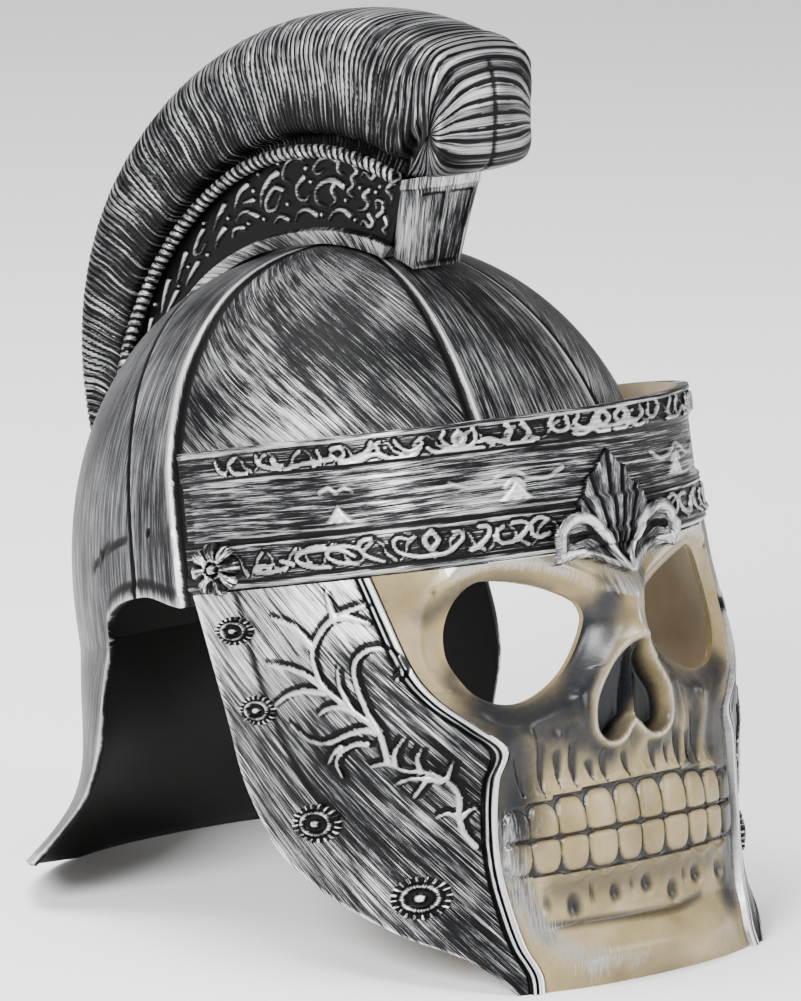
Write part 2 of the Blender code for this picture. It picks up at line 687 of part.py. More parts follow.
def skull_columns(z):
    """Plan angles of the skull's columns at a height, lined up with the teeth, out to the cheek guards."""
    width = mask_half_width()
    edges = [TOOTH_EDGES[0]]
    for index in range(len(TOOTH_EDGES) - 1):
        edges += [(TOOTH_EDGES[index] + TOOTH_EDGES[index + 1]) / 2, TOOTH_EDGES[index + 1]]
    depth = MASK_DEPTH * 0.93
    angles = [atan2(edge * width, depth) for edge in edges]
    front_edge = guard_edges(z)[0] - SEAM_GAP / (MASK_DEPTH * 0.9)
    last = angles[-1]
    scale = min(1.0, front_edge * 0.88 / last)
    angles = [angle * scale for angle in angles]
    for share in (0.25, 0.5, 0.75, 1.0):
        angles.append(angles[len(edges) - 1] + (front_edge - angles[len(edges) - 1]) * share)
    return [-angle for angle in reversed(angles[1:])] + angles


def eye_cutter(side, parent):
    """Guide solid through one eye, kept out of the model."""
    outline = []
    count = len(EYE_OUTLINE)
    for index in range(count):
        outline.append((side * (EYE_CENTRE_X + EYE_OUTLINE[index][0] * EYE_WIDTH),
                        EYE_CENTRE_Z + EYE_OUTLINE[index][1] * EYE_HEIGHT))
    rings = [[(x, y, z) for x, z in outline] for y in (MASK_CENTRE_Y - MASK_DEPTH * 1.4, MASK_CENTRE_Y * 0.6)]
    points, faces = loft(rings)
    cutter = add_object("eye_guide_right" if side < 0 else "eye_guide_left", points, faces, BONE, parent)
    cutter.hide_render = True
    cutter.display_type = "WIRE"
    return cutter


def build_skull(parent):
    """The bone-coloured face: brow, open eyes, nose, teeth and chin, in one shell."""
    rows = skull_rows()
    points = []
    for z in rows:
        for angle in skull_columns(z):
            base = mask_point(angle, min(z, FACE_RISE))
            base[1] -= face_relief(base[0], z)
            base[2] = face_row(angle, z)
            points.append(base)
    columns = len(skull_columns(0.0))
    faces = grid_faces(len(rows), columns)
    shell_points, shell_faces = thicken(np.asarray(points), faces, MASK_WALL)
    shell_points = above_floor(level_top(shell_points, columns))
    skull = add_object("skull_face", shell_points, shell_faces, BONE, parent)
    for side in (-1, 1):
        cut = skull.modifiers.new("eye", "BOOLEAN")
        cut.operation = "DIFFERENCE"
        cut.solver = "EXACT"
        cut.object = eye_cutter(side, parent)
    return skull


# Cheek guards

def guard_rise(share_along, length):
    """Rise of the guard over the mask's surface, with a rolled edge at the front and a thin one at the back."""
    from_front = share_along * length
    from_back = (1 - share_along) * length
    front = 1 - smooth_step(from_front, GUARD_EDGE_WIDTH * 0.6, GUARD_EDGE_WIDTH)
    back = 0.4 * (1 - smooth_step(from_back, GUARD_EDGE_WIDTH * 0.4, GUARD_EDGE_WIDTH * 0.6))
    return GUARD_RISE + GUARD_EDGE_RISE * (front + back)


def build_guard(name, side, parent):
    """Cheek guard: a curved plate from the skull's side back to the ear, narrowing down to the jaw."""
    shares = (0.0, 0.045, 0.090, 0.135, 0.188, 0.245, 0.310, 0.375, 0.440, 0.512, 0.576, 0.638, 0.708, 0.790,
              0.889, 1.0)
    columns = 9
    points = []
    for share in shares:
        z = face_z(share) - (SEAT_GAP if share == 1.0 else 0.0)
        front, back = guard_edges(z)
        width = mask_half_width()
        length = width * (back - front)
        edge = min(GUARD_EDGE_WIDTH / length, 0.3)
        for along in (0.0, edge * 0.6, edge, 0.32, 0.50, 0.68, 0.84, 1 - edge * 0.6, 1.0):
            angle = front + (back - front) * along
            point = mask_point(angle, z, guard_rise(along, length))
            point[2] = face_row(angle, z)
            points.append(point)
    points = np.asarray(points)
    faces = grid_faces(len(shares), columns)
    shell_points, shell_faces = thicken(points, faces, MASK_WALL)
    shell_points = level_top(shell_points, columns)
    shell_points[:, 0] *= side
    return add_object(name, above_floor(shell_points), shell_faces, SILVER, parent)


# Rosettes and bosses

def toothed_disc(place, width, height, rise, teeth, rings):
    """Oval disc with a toothed rim, laid on a curved surface; place maps (along, up, rise) to a point."""
    sides = teeth * 2
    points = []
    for radius, level in rings:
        for index in range(sides):
            turn = 2 * pi * index / sides
            tooth = 1.0 if index % 2 == 0 or radius < 0.9 else 0.84
            points.append(place(radius * tooth * cos(turn) * width / 2, radius * tooth * sin(turn) * height / 2,
                                level * rise))
    return loft(np.asarray(points).reshape(len(rings), sides, 3))


BOSS_RINGS = ((1.0, 0.0), (1.0, 0.60), (0.64, 0.70), (0.30, 1.00))


def build_boss(name, angle, share, wide, tall, side, parent):
    """Toothed oval boss seated on a cheek guard."""
    z = face_z(share)

    def place(along, up, rise):
        point = mask_point(angle + along / mask_half_width(), z + up, GUARD_RISE + SEAT_GAP + BOSS_STANDOFF + rise)
        point[0] *= side
        return point

    points, faces = toothed_disc(place, BOSS_WIDTH * wide, BOSS_WIDTH * tall, BOSS_RISE, 9, BOSS_RINGS)
    return add_object(name, points, faces, SILVER, parent)


def build_rosette(name, side, parent):
    """Petalled rosette on the band's end, over the fastening at the temple."""
    def place(along, up, rise):
        z = ROSETTE_Z + up
        point = mask_point(ROSETTE_ANGLE + along / mask_half_width(), z, band_seat() + rise)
        point[0] *= side
        return point

    points, faces = toothed_disc(place, ROSETTE_WIDTH, ROSETTE_HEIGHT, ROSETTE_RISE, 8, BOSS_RINGS)
    return add_object(name, points, faces, SILVER, parent)


# Crest

def crest_centre():
    """Centre of the crest's arc."""
    return BOWL_CENTRE_Y - CREST_AHEAD, BOWL_FOOT_Z + BOWL_CROWN - CREST_SINK


def crest_point(angle, radius, x=0.0):
    """Point over the dome at an angle back from the upright and a distance from the crest's centre."""
    centre_y, centre_z = crest_centre()
    return np.array((x, centre_y + radius * sin(angle), centre_z + radius * cos(angle)))


def dome_radius(angle, x):
    """Distance from the crest's centre out to the dome's outside, at an angle and a point across."""
    low = 0.3 * BOWL_CROWN
    high = 1.6 * BOWL_CROWN
    for _ in range(40):
        middle = (low + high) / 2
        point = crest_point(angle, middle, x)
        inside = abs(point[1] - BOWL_CENTRE_Y) < BOWL_HALF_LENGTH * 0.999 and point[2] < bowl_top(x, point[1])
        if point[2] < BOWL_FOOT_Z:
            inside = point[1] - BOWL_CENTRE_Y < BOWL_HALF_LENGTH
        low, high = (middle, high) if inside else (low, middle)
    return low


def crest_angle(share):
    """Angle of a share of the crest's arc."""
    return CREST_FRONT_ANGLE + (CREST_BACK_ANGLE - CREST_FRONT_ANGLE) * share


def rope_radius_at(share):
    """Distance from the crest's centre to the rope border, which tops the plate."""
    plate = table_at(CREST_SECTIONS, share)[1] * PLATE_HEIGHT
    return dome_radius(crest_angle(share), 0.0) + plate


def build_crest_base(parent):
    """Upright plate over the dome, with a flange at its foot, under the rope border."""
    count = 24
    sections = []
    for index in range(count + 1):
        share = index / count
        angle = crest_angle(share)
        middle = dome_radius(angle, 0.0) + SEAT_GAP * 2
        side = dome_radius(angle, PLATE_HALF_WIDTH + FLANGE_RISE) + SEAT_GAP * 2
        top = rope_radius_at(share) - SEAT_GAP
        flange = min(side + FLANGE_HEIGHT, (side + top) / 2)
        outer = PLATE_HALF_WIDTH + FLANGE_RISE
        half = [(0.0, middle), (outer, side), (outer, flange), (PLATE_HALF_WIDTH, flange + FLANGE_RISE / 2),
                (PLATE_HALF_WIDTH, top)]
        ring = half + [(-x, radius) for x, radius in reversed(half[1:])]
        sections.append([crest_point(angle, radius, x) for x, radius in ring])
    points, faces = loft(sections)
    return add_object("crest_base", points, faces, DARK_SILVER, parent)


def build_rope(name, side, parent):
    """Rope border along the top edge of the plate."""
    count = 21
    sides = 6
    x = side * (PLATE_HALF_WIDTH + SEAT_GAP + ROPE_RADIUS)
    sections = []
    for index in range(count + 1):
        share = 0.005 + 0.985 * index / count
        angle = crest_angle(share)
        radius = rope_radius_at(share)
        ring = []
        for corner in range(sides):
            turn = 2 * pi * corner / sides
            ring.append(crest_point(angle, radius + ROPE_RADIUS * sin(turn), x + ROPE_RADIUS * cos(turn)))
        sections.append(ring)
    points, faces = loft(sections)
    return add_object(name, points, faces, SILVER, parent)


def brush_ring(foot, top, width, profile):
    """One section of the brush between its foot and its top, both in the middle plane."""
    half = []
    for height, half_width in profile:
        centre = foot + (top - foot) * height
        half.append((half_width * BRUSH_HALF_WIDTH * width, centre))
    ring = [np.array((x, centre[1], centre[2])) for x, centre in half]
    ring.append(np.array((0.0, top[1], top[2])))
    ring += [np.array((-x, centre[1], centre[2])) for x, centre in reversed(half)]
    return ring


def build_brush(parent):
    """The moulded brush: fluted locks over the rope borders, with a rounded front that stands ahead."""
    flutes = ceil((CREST_BACK_ANGLE - CREST_FRONT_ANGLE) * BOWL_CROWN / FLUTE_PITCH)
    sections = []
    first_foot = crest_point(crest_angle(0.0), rope_radius_at(0.0) + SEAT_GAP)
    first_top = crest_point(crest_angle(0.0), rope_radius_at(0.0) + BRUSH_HEIGHT)
    for foot_ahead, top_ahead, drop, width in reversed(BRUSH_FRONT):
        foot = first_foot + foot_ahead * np.array((0.0, -BRUSH_OVERHANG, -BRUSH_HEIGHT * BRUSH_FRONT_DIP))
        top = first_top + np.array((0.0, -BRUSH_OVERHANG * top_ahead, -BRUSH_HEIGHT * drop))
        sections.append(brush_ring(foot, top, width, BRUSH_FRONT_PROFILE))
    for index in range(2 * flutes + 1):
        share = index / (2 * flutes)
        angle = crest_angle(share)
        row = table_at(CREST_SECTIONS, share)
        flute = BRUSH_FLUTE * (1 if index % 2 else -1) / 2
        radius = rope_radius_at(share)
        foot = crest_point(angle, radius + SEAT_GAP)
        top = crest_point(angle, radius + BRUSH_HEIGHT * row[2] + flute)
        width = 1.0 + flute / BRUSH_HALF_WIDTH - BRUSH_NARROWING * smooth_step(share, BRUSH_NARROWS_AT, 1.0)
        sections.append(brush_ring(foot, top, width, BRUSH_PROFILE))
    points, faces = loft(sections)
    return add_object("crest_plume", points, faces, SILVER, parent)


def build_bracket(parent):
    """Tapered block under the front of the brush, between the plate and the open dome."""
    angle = crest_angle(0.0)
    back_low = crest_point(angle, dome_radius(angle, 0.0) + SEAT_GAP)
    back_high = crest_point(angle, rope_radius_at(0.0) - SEAT_GAP)
    along = (back_high - back_low) / np.linalg.norm(back_high - back_low)
    forward = np.array((0.0, -along[2], along[1]))
    sections = []
    for step in (SEAT_GAP, BRACKET_DEPTH * BRACKET_BEVEL_SHARE, BRACKET_DEPTH):
        low = back_low + forward * step
        low[2] = bowl_top(0.0, low[1]) + SEAT_GAP * 2
        high = back_high + forward * step
        high[2] = back_high[2] - SEAT_GAP
        wide = BRACKET_HALF_WIDTH * (1.0 if step > SEAT_GAP else BRACKET_BACK_WIDTH)
        ring = []
        for x, share in BRACKET_OUTLINE:
            point = low + (high - low) * share
            ring.append((x * wide, point[1], point[2]))
        sections.append(ring)
    points, faces = loft(sections)
    return add_object("crest_bracket", points, faces, SILVER, parent)


def clear_scene():
    """Start from an empty scene."""
    for item in list(bpy.data.objects):
        bpy.data.objects.remove(item, do_unlink=True)


def rest_helmet(holder):
    """Lean the helmet back and set the middle of its footprint on the origin."""
    lean_cos = cos(REST_LEAN)
    lean_sin = sin(REST_LEAN)
    corners = []
    for piece in holder.children:
        if piece.hide_render:
            continue
        count = len(piece.data.vertices)
        points = np.empty(count * 3)
        piece.data.vertices.foreach_get("co", points)
        points = points.reshape(-1, 3)
        y = points[:, 1] * lean_cos + points[:, 2] * lean_sin
        z = -points[:, 1] * lean_sin + points[:, 2] * lean_cos
        leaned = np.column_stack([points[:, 0], y, z])
        corners.append(leaned.min(axis=0))
        corners.append(leaned.max(axis=0))
    low = np.min(corners, axis=0)
    high = np.max(corners, axis=0)
    holder.rotation_euler = (-REST_LEAN, 0.0, 0.0)
    holder.location = (-(low[0] + high[0]) / 2, -(low[1] + high[1]) / 2, -low[2])


def main():
    """Build every piece of the helmet."""
    clear_scene()
    holder = bpy.data.objects.new("helmet_rest", None)
    bpy.context.scene.collection.objects.link(holder)
    build_bowl(holder)
    build_crest_base(holder)
    build_bracket(holder)
    build_brush(holder)
    build_band(holder)
    build_fan(holder)
    build_skull(holder)
    for side, word in ((-1, "right"), (1, "left")):
        build_rope("crest_rope_" + word, side, holder)
        build_guard("cheek_guard_" + word, side, holder)
        build_rosette("temple_rosette_" + word, side, holder)
        for number, (angle, share, wide, tall) in enumerate(BOSSES, 1):
            build_boss(f"cheek_boss_{word}_{number}", radians(angle), share, wide, tall, side, holder)
    rest_helmet(holder)
    bpy.context.view_layer.update()


main()
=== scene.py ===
"""Dressed gladiator helmet: fine surfaces, cast ornament and worn silver paint over the CAD frame.

Lengths are in millimetres as worn: the face looks along -Y and the origin lies at the front teeth. to_world()
leans the points back and puts them where the CAD stands.
"""

import bmesh
import bpy
import numpy as np
from functools import reduce
from math import atan2, cos, pi, radians, sin
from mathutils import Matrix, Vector


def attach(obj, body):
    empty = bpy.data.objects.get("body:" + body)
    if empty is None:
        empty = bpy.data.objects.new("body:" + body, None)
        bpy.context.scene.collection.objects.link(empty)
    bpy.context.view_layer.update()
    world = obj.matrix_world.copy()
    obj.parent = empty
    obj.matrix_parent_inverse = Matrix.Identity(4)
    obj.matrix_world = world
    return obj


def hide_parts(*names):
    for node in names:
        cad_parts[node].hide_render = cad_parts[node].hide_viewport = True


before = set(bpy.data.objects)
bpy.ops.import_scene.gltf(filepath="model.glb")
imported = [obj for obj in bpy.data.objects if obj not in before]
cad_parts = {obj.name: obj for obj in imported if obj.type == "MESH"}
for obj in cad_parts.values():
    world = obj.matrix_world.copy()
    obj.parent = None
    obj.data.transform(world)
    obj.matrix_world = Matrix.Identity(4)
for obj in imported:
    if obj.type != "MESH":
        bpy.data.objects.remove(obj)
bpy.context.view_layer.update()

# Where the CAD stands
REST_LEAN = radians(13.0)
HOLDER_Y = -151.846
HOLDER_Z = 58.462

# Sizes of the CAD's surfaces
BOWL_HALF_WIDTH = 103.1
BOWL_HALF_LENGTH = 125.0
BOWL_CENTRE_Y = 137.0
BOWL_FOOT_Z = 96.0
BOWL_CROWN = 138.5
BOWL_WALL = 2.4
BOWL_PLAN_POWER = 2.3
BOWL_CROWN_POWER = 2.2
STRIP_RISE = 1.0
FRONT_HEM_Z = 118.0
EAR_FRONT_Z = 103.6
EAR_ARCH_Z = 109.2
EAR_FRONT_ANGLE = radians(84.0)
EAR_ARCH_ANGLE = radians(97.0)
NECK_ANGLE = radians(114.6)
NECK_TOP_Z = 90.7
NECK_CORNER_Z = 11.2
NECK_CORNER_ANGLE = radians(126.6)
NECK_FLARE_SIDE = 32.0
NECK_FLARE_BACK = 27.0
NECK_PLAN_POWER = 2.45
MASK_WALL = 2.4
MASK_HALF_WIDTH = 105.18
MASK_CENTRE_Y = 115.0
MASK_DEPTH = 123.5
CHIN_DROP = 60.0
FACE_RISE = 104.0
BAND_HEIGHT = 54.0
BAND_FLARE = 7.8
BAND_TOP_POWER = 2.0
BAND_END_RISE = 4.2
BAND_RELIEF = 1.6
BAND_SEAM = 0.3
BAND_END_TOP = radians(88.4)
BAND_END_BOTTOM = radians(91.0)
CREST_AHEAD = 19.0
CREST_SINK = 69.5
CREST_FRONT_ANGLE = radians(-30.0)
CREST_BACK_ANGLE = radians(96.0)
PLATE_HEIGHT = 36.0
PLATE_HALF_WIDTH = 13.0
PLATE_SINK = 0.9
FLANGE_OUT = 2.5
ROPE_RADIUS = 2.7
BEAD_PITCH = 3.7
BRUSH_HEIGHT = 60.0
BRUSH_HALF_WIDTH = 26.0

MASK_SECTIONS = (
    # height share, width, depth, power
    (0.000, 0.865, 0.890, 3.9),
    (0.146, 0.890, 0.895, 2.9),
    (0.365, 0.918, 0.919, 2.68),
    (0.578, 0.938, 0.931, 3.0),
    (0.669, 0.945, 0.947, 2.9),
    (0.889, 0.985, 0.980, 2.3),
    (1.000, 1.000, 1.000, 2.15),
)

GUARD_EDGES = (
    # height share, front, back
    (0.000, 26.6, 30.8), (0.055, 26.4, 34.0), (0.120, 28.4, 40.5), (0.188, 29.6, 52.0), (0.299, 30.8, 68.0),
    (0.405, 30.6, 79.4), (0.512, 29.2, 84.5), (0.576, 27.2, 86.5), (0.638, 31.7, 87.6), (0.708, 37.4, 87.8),
    (0.774, 41.0, 88.0), (0.889, 44.2, 88.8), (1.000, 47.0, 90.0),
)

SKULL_FORMS = (
    # across, height, spread across, spread in height, rise in millimetres
    (0.000, 0.900, 0.110, 0.070, 6.2),
    (0.000, 0.790, 0.075, 0.110, 6.2),
    (0.560, 0.585, 0.200, 0.050, 1.6),
    (0.360, 0.500, 0.100, 0.060, -3.0),
    (0.000, 0.365, 0.420, 0.120, 1.6),
    (0.000, 0.060, 0.340, 0.075, 6.2),
    (0.000, 0.160, 0.400, 0.030, -1.4),
)

EYE_OUTLINE = (
    (-0.500, 0.060), (-0.485, 0.175), (-0.410, 0.270), (-0.170, 0.400), (0.110, 0.485), (0.260, 0.490),
    (0.385, 0.380), (0.470, 0.200), (0.500, 0.010), (0.480, -0.150), (0.390, -0.360), (0.245, -0.475),
    (0.070, -0.500), (-0.110, -0.440), (-0.290, -0.310), (-0.430, -0.120),
)
EYE_CENTRE = (41.2, 74.5)
EYE_SIZE = (53.0, 46.5)

BAND_PROFILE = (
    (0.00, 0.20), (0.03, 1.50), (0.10, 1.80), (0.14, 0.90), (0.17, 1.30), (0.35, 1.30), (0.38, 0.20),
    (0.76, 0.20), (0.79, 1.00), (0.95, 1.00), (0.975, 1.45), (1.00, 1.20),
)

NECK_SECTIONS = (
    # drop, side flare, back flare, turn
    (0.00, 0.00, 0.00, 0.00), (0.20, 0.15, -0.10, 0.03), (0.40, 0.25, -0.15, 0.12), (0.58, 0.32, -0.08, 0.36),
    (0.74, 0.47, 0.14, 0.60), (0.88, 0.73, 0.52, 0.80), (1.00, 1.00, 1.00, 1.00),
)

CREST_SECTIONS = (
    # share of the arc, plate height, brush height
    (0.000, 0.92, 1.00), (0.205, 1.00, 0.89), (0.400, 0.97, 0.77), (0.570, 0.82, 0.69), (0.720, 0.66, 0.59),
    (0.825, 0.56, 0.47), (0.915, 0.42, 0.35), (1.000, 0.26, 0.20),
)

BOSSES = (
    # plan angle, height share, width, height
    (79.5, 0.932, 0.92, 0.50), (77.6, 0.742, 0.92, 0.52), (67.0, 0.466, 1.08, 0.68),
    (46.6, 0.268, 1.06, 0.74),
)
BOSS_WIDTH = 22.5
BOSS_RISE = 3.4
ROSETTE_WIDTH = 24.0
ROSETTE_HEIGHT = 19.0
ROSETTE_RISE = 5.0
ROSETTE_Z = 117.0
ROSETTE_ANGLE = radians(81.5)
GUARD_RISE = 1.2
SOCKET_DEPTH = 4.5
NEAR_EYE_FORMS = 3.0
SKULL_SIDE_GAP = 0.6
SEAT_GAP = 0.3

# Millimetres for each radian round a surface, for patterns that run round it
ROUND_BOWL = 105.0
ROUND_BAND = 118.0
ROUND_GUARD = 108.0


# Numbers

def table_at(rows, share):
    """Rows of a table at shares between its rows, on a smooth curve through them."""
    rows = np.asarray(rows, float)
    keys = rows[:, 0]
    share = np.clip(np.asarray(share, float), keys[0], keys[-1])
    index = np.clip(np.searchsorted(keys, share) - 1, 0, len(keys) - 2)
    before = np.maximum(index - 1, 0)
    after = np.minimum(index + 2, len(keys) - 1)
    span = (keys[index + 1] - keys[index])[..., None]
    slope_a = (rows[index + 1] - rows[before]) / (keys[index + 1] - keys[before])[..., None] * span
    slope_b = (rows[after] - rows[index]) / (keys[after] - keys[index])[..., None] * span
    t = (share[..., None] - keys[index][..., None]) / span
    return ((2 * t**3 - 3 * t**2 + 1) * rows[index] + (t**3 - 2 * t**2 + t) * slope_a
            + (3 * t**2 - 2 * t**3) * rows[index + 1] + (t**3 - t**2) * slope_b)


def step(value, start, end):
    """0 before start, 1 after end, with an even slope between."""
    t = np.clip((np.asarray(value, float) - start) / (end - start), 0.0, 1.0)
    return t * t * (3 - 2 * t)


def bell(value, middle, width):
    """1 at the middle, falling away evenly on both sides."""
    return np.exp(-((value - middle) / width) ** 2)


def spot(u, v, place, height, wide, tall):
    """1 at a place, falling away evenly all round."""
    return np.exp(-((u - place) / wide) ** 2 - ((v - height) / tall) ** 2)


def largest(*parts):
    """The largest of several fields at each point."""
    return reduce(np.maximum, parts)


def stacked(*parts):
    """Fields side by side in a last axis, each spread to the shape of all."""
    return np.stack(np.broadcast_arrays(*parts), axis=-1)


def lengths_to(line):
    """Length along a line of points up to each of them."""
    return np.concatenate([[0.0], np.cumsum(np.linalg.norm(np.diff(line, axis=0), axis=1))])


def plan_radius(angle, half_width, depth, power):
    """Distance from a plan's centre to its rounded outline."""
    across = np.abs(np.sin(angle)) / half_width
    along = np.abs(np.cos(angle)) / depth
    return (across**power + along**power) ** (-1 / power)


def curve(points, steps=8, closed=False):
    """Smooth curve through points, as many-sided as its steps."""
    points = np.asarray(points, float)
    count = len(points)
    if closed:
        ring = np.vstack([points[-1], points, points[0], points[1]])
    else:
        ring = np.vstack([2 * points[0] - points[1], points, 2 * points[-1] - points[-2]])
    made = []
    for index in range(count if closed else count - 1):
        a, b, c, d = ring[index:index + 4]
        for part in range(steps):
            t = part / steps
            made.append(0.5 * (2 * b + (c - a) * t + (2 * a - 5 * b + 4 * c - d) * t**2
                               + (3 * b - a - 3 * c + d) * t**3))
    if not closed:
        made.append(points[-1])
    return np.array(made)


def to_line(u, v, line, reach):
    """Distance of each point to a line of short runs, and how far along it the nearest place lies, 0 to 1.

    Points further than the reach keep the reach.
    """
    near = np.full(u.shape, float(reach))
    along = np.zeros(u.shape)
    lengths = lengths_to(line)
    total = max(lengths[-1], 1e-6)
    low = line.min(axis=0) - reach
    high = line.max(axis=0) + reach
    some = (u > low[0]) & (u < high[0]) & (v > low[1]) & (v < high[1])
    if not some.any():
        return near, along
    us = u[some]
    vs = v[some]
    best = np.full(us.shape, float(reach))
    place = np.zeros(us.shape)
    for index in range(len(line) - 1):
        a = line[index]
        run = line[index + 1] - a
        length = max(run @ run, 1e-12)
        t = np.clip(((us - a[0]) * run[0] + (vs - a[1]) * run[1]) / length, 0.0, 1.0)
        distance = np.hypot(us - a[0] - t * run[0], vs - a[1] - t * run[1])
        closer = distance < best
        best[closer] = distance[closer]
        place[closer] = (lengths[index] + t[closer] * (lengths[index + 1] - lengths[index])) / total
    near[some] = best
    along[some] = place
    return near, along


def ridges(u, v, strokes, steps=6):
    """Height from 0 to 1 of round ridges drawn as strokes: (start width, end width, points)."""
    height = np.zeros(u.shape)
    for first, last, points in strokes:
        line = curve(points, steps) if len(points) > 2 else np.asarray(points, float)
        distance, along = to_line(u, v, line, max(first, last) + 0.3)
        width = first + (last - first) * along
        lift = np.sqrt(np.clip(1 - (distance / np.maximum(width, 0.05)) ** 2, 0.0, 1.0))
        lift *= np.clip(width / max(first, last), 0.35, 1.0)
        height = np.maximum(height, lift)
    return height


def soft(u, v, strokes, steps=5):
    """Soft marks from 0 to 1: (width, strength, points)."""
    mark = np.zeros(u.shape)
    for width, strength, points in strokes:
        line = curve(points, steps) if len(points) > 2 else np.asarray(points, float)
        distance, _ = to_line(u, v, line, width * 2.2)
        mark = np.maximum(mark, strength * bell(distance, 0, width) * (distance < width * 2.19))
    return mark


def inside_distance(u, v, outline):
    """Signed distance to a closed outline, below 0 inside it."""
    ring = np.vstack([outline, outline[:1]])
    distance, _ = to_line(u, v, ring, 60.0)
    inside = np.zeros(u.shape, bool)
    for index in range(len(outline)):
        (x1, y1), (x2, y2) = ring[index], ring[index + 1]
        crosses = (y1 > v) != (y2 > v)
        with np.errstate(divide="ignore", invalid="ignore"):
            meets = (x2 - x1) * (v - y1) / (y2 - y1) + x1
        inside ^= crosses & (u < meets)
    return np.where(inside, -distance, distance)


# Surfaces as worn

def to_world(points):
    """Points as worn, in millimetres, to the world's metres."""
    points = np.asarray(points, float)
    lean_cos, lean_sin = cos(REST_LEAN), sin(REST_LEAN)
    y = points[..., 1] * lean_cos + points[..., 2] * lean_sin + HOLDER_Y
    z = -points[..., 1] * lean_sin + points[..., 2] * lean_cos + HOLDER_Z
    return stacked(points[..., 0], y, z) / 1000


def above_floor(points):
    """Points lifted onto the floor where they would lie under it."""
    floor = -CHIN_DROP + points[..., 1] * np.tan(REST_LEAN)
    points[..., 2] = np.maximum(points[..., 2], floor)
    return points


def face_share(z):
    """Height on the face as a share from the chin to the brow."""
    return (np.asarray(z, float) + CHIN_DROP) / (CHIN_DROP + FACE_RISE)


def face_z(share):
    """Height of a share of the face."""
    return -CHIN_DROP + (CHIN_DROP + FACE_RISE) * share


def mask_xyz(angle, z, rise=0.0):
    """Points on the mask's base surface, band included, moved out by a rise."""
    section = table_at(MASK_SECTIONS, face_share(z))
    lean = np.clip((z - FACE_RISE) / BAND_HEIGHT, 0.0, 1.2)
    power = section[..., 3] + (BAND_TOP_POWER - MASK_SECTIONS[-1][3]) * lean
    radius = plan_radius(angle, MASK_HALF_WIDTH * section[..., 1],
                         MASK_DEPTH * section[..., 2] + BAND_FLARE * lean, power) + rise
    return stacked(radius * np.sin(angle), MASK_CENTRE_Y - radius * np.cos(angle), z)


def end_rise(angle):
    """How far the band's line climbs towards the ends."""
    return BAND_END_RISE * np.abs(np.sin(angle)) ** 1.4


def face_row(angle, z):
    """Height of a point under the band, which the climb of the band takes with it."""
    return z + end_rise(angle) * step(face_share(z), 0.80, 1.0)


def guard_edges(z):
    """Plan angles of a cheek guard's front and back edge."""
    rows = table_at(GUARD_EDGES, face_share(z))
    return np.radians(rows[..., 1]), np.radians(rows[..., 2])


def bowl_plan(angle, grow=0.0, grow_back=0.0, power=BOWL_PLAN_POWER):
    """Radius of the dome's plan."""
    return plan_radius(angle, BOWL_HALF_WIDTH + grow, BOWL_HALF_LENGTH + grow_back, power)


def bowl_reach(z):
    """The dome's plan at a height as a share of its plan at the foot."""
    lift = np.clip((z - BOWL_FOOT_Z) / BOWL_CROWN, 0.0, 1.0)
    return (1 - lift**BOWL_CROWN_POWER) ** (1 / BOWL_CROWN_POWER)


def bowl_xyz(angle, z, rise=0.0):
    """Points on the dome, moved out by a rise."""
    radius = (bowl_plan(angle) + rise) * bowl_reach(z)
    return stacked(radius * np.sin(angle), BOWL_CENTRE_Y - radius * np.cos(angle), z)


def bowl_top(x, y):
    """Height of the dome over a place."""
    angle = np.arctan2(x, BOWL_CENTRE_Y - y)
    share = np.hypot(x, BOWL_CENTRE_Y - y) / bowl_plan(angle)
    lift = np.maximum(1 - share**BOWL_CROWN_POWER, 0.0) ** (1 / BOWL_CROWN_POWER)
    return BOWL_FOOT_Z + BOWL_CROWN * lift + STRIP_RISE


def hem_z(angle):
    """Height of the dome's lower edge with its ear notches."""
    turn = np.abs(angle)
    drop = step(turn, EAR_FRONT_ANGLE * 0.75, EAR_FRONT_ANGLE)
    lift = step(turn, EAR_FRONT_ANGLE, EAR_ARCH_ANGLE)
    ahead = FRONT_HEM_Z + (EAR_FRONT_Z - FRONT_HEM_Z) * drop + (EAR_ARCH_Z - EAR_FRONT_Z) * lift
    share = np.clip((turn - EAR_ARCH_ANGLE) / (NECK_ANGLE - EAR_ARCH_ANGLE), 0.0, 1.0)
    behind = NECK_TOP_Z + (EAR_ARCH_Z - NECK_TOP_Z) * np.maximum(1 - share**2.5, 0.0) ** 0.4
    return np.where(turn <= EAR_ARCH_ANGLE, ahead, behind)


def neck_xyz(drop, share, side, rise=0.0):
    """Points on the neck guard: drop from its top to the rim, share from its front edge to the middle."""
    section = table_at(NECK_SECTIONS, drop)
    front_angle = NECK_ANGLE + (NECK_CORNER_ANGLE - NECK_ANGLE) * section[..., 3]
    angle = front_angle + (pi - front_angle) * share
    power = BOWL_PLAN_POWER + (NECK_PLAN_POWER - BOWL_PLAN_POWER) * drop
    side_flare, back_flare = NECK_FLARE_SIDE * section[..., 1], NECK_FLARE_BACK * section[..., 2]
    radius = bowl_plan(angle, side_flare, back_flare, power) + rise
    rim_back_z = -CHIN_DROP + (BOWL_CENTRE_Y + BOWL_HALF_LENGTH + NECK_FLARE_BACK) * np.tan(REST_LEAN) - 0.6
    rim_z = NECK_CORNER_Z + (rim_back_z - NECK_CORNER_Z) * step(share, 0.0, 0.8)
    z = NECK_TOP_Z + (rim_z - NECK_TOP_Z) * drop
    return stacked(side * radius * np.sin(angle), BOWL_CENTRE_Y - radius * np.cos(angle), z)


# Crest arc

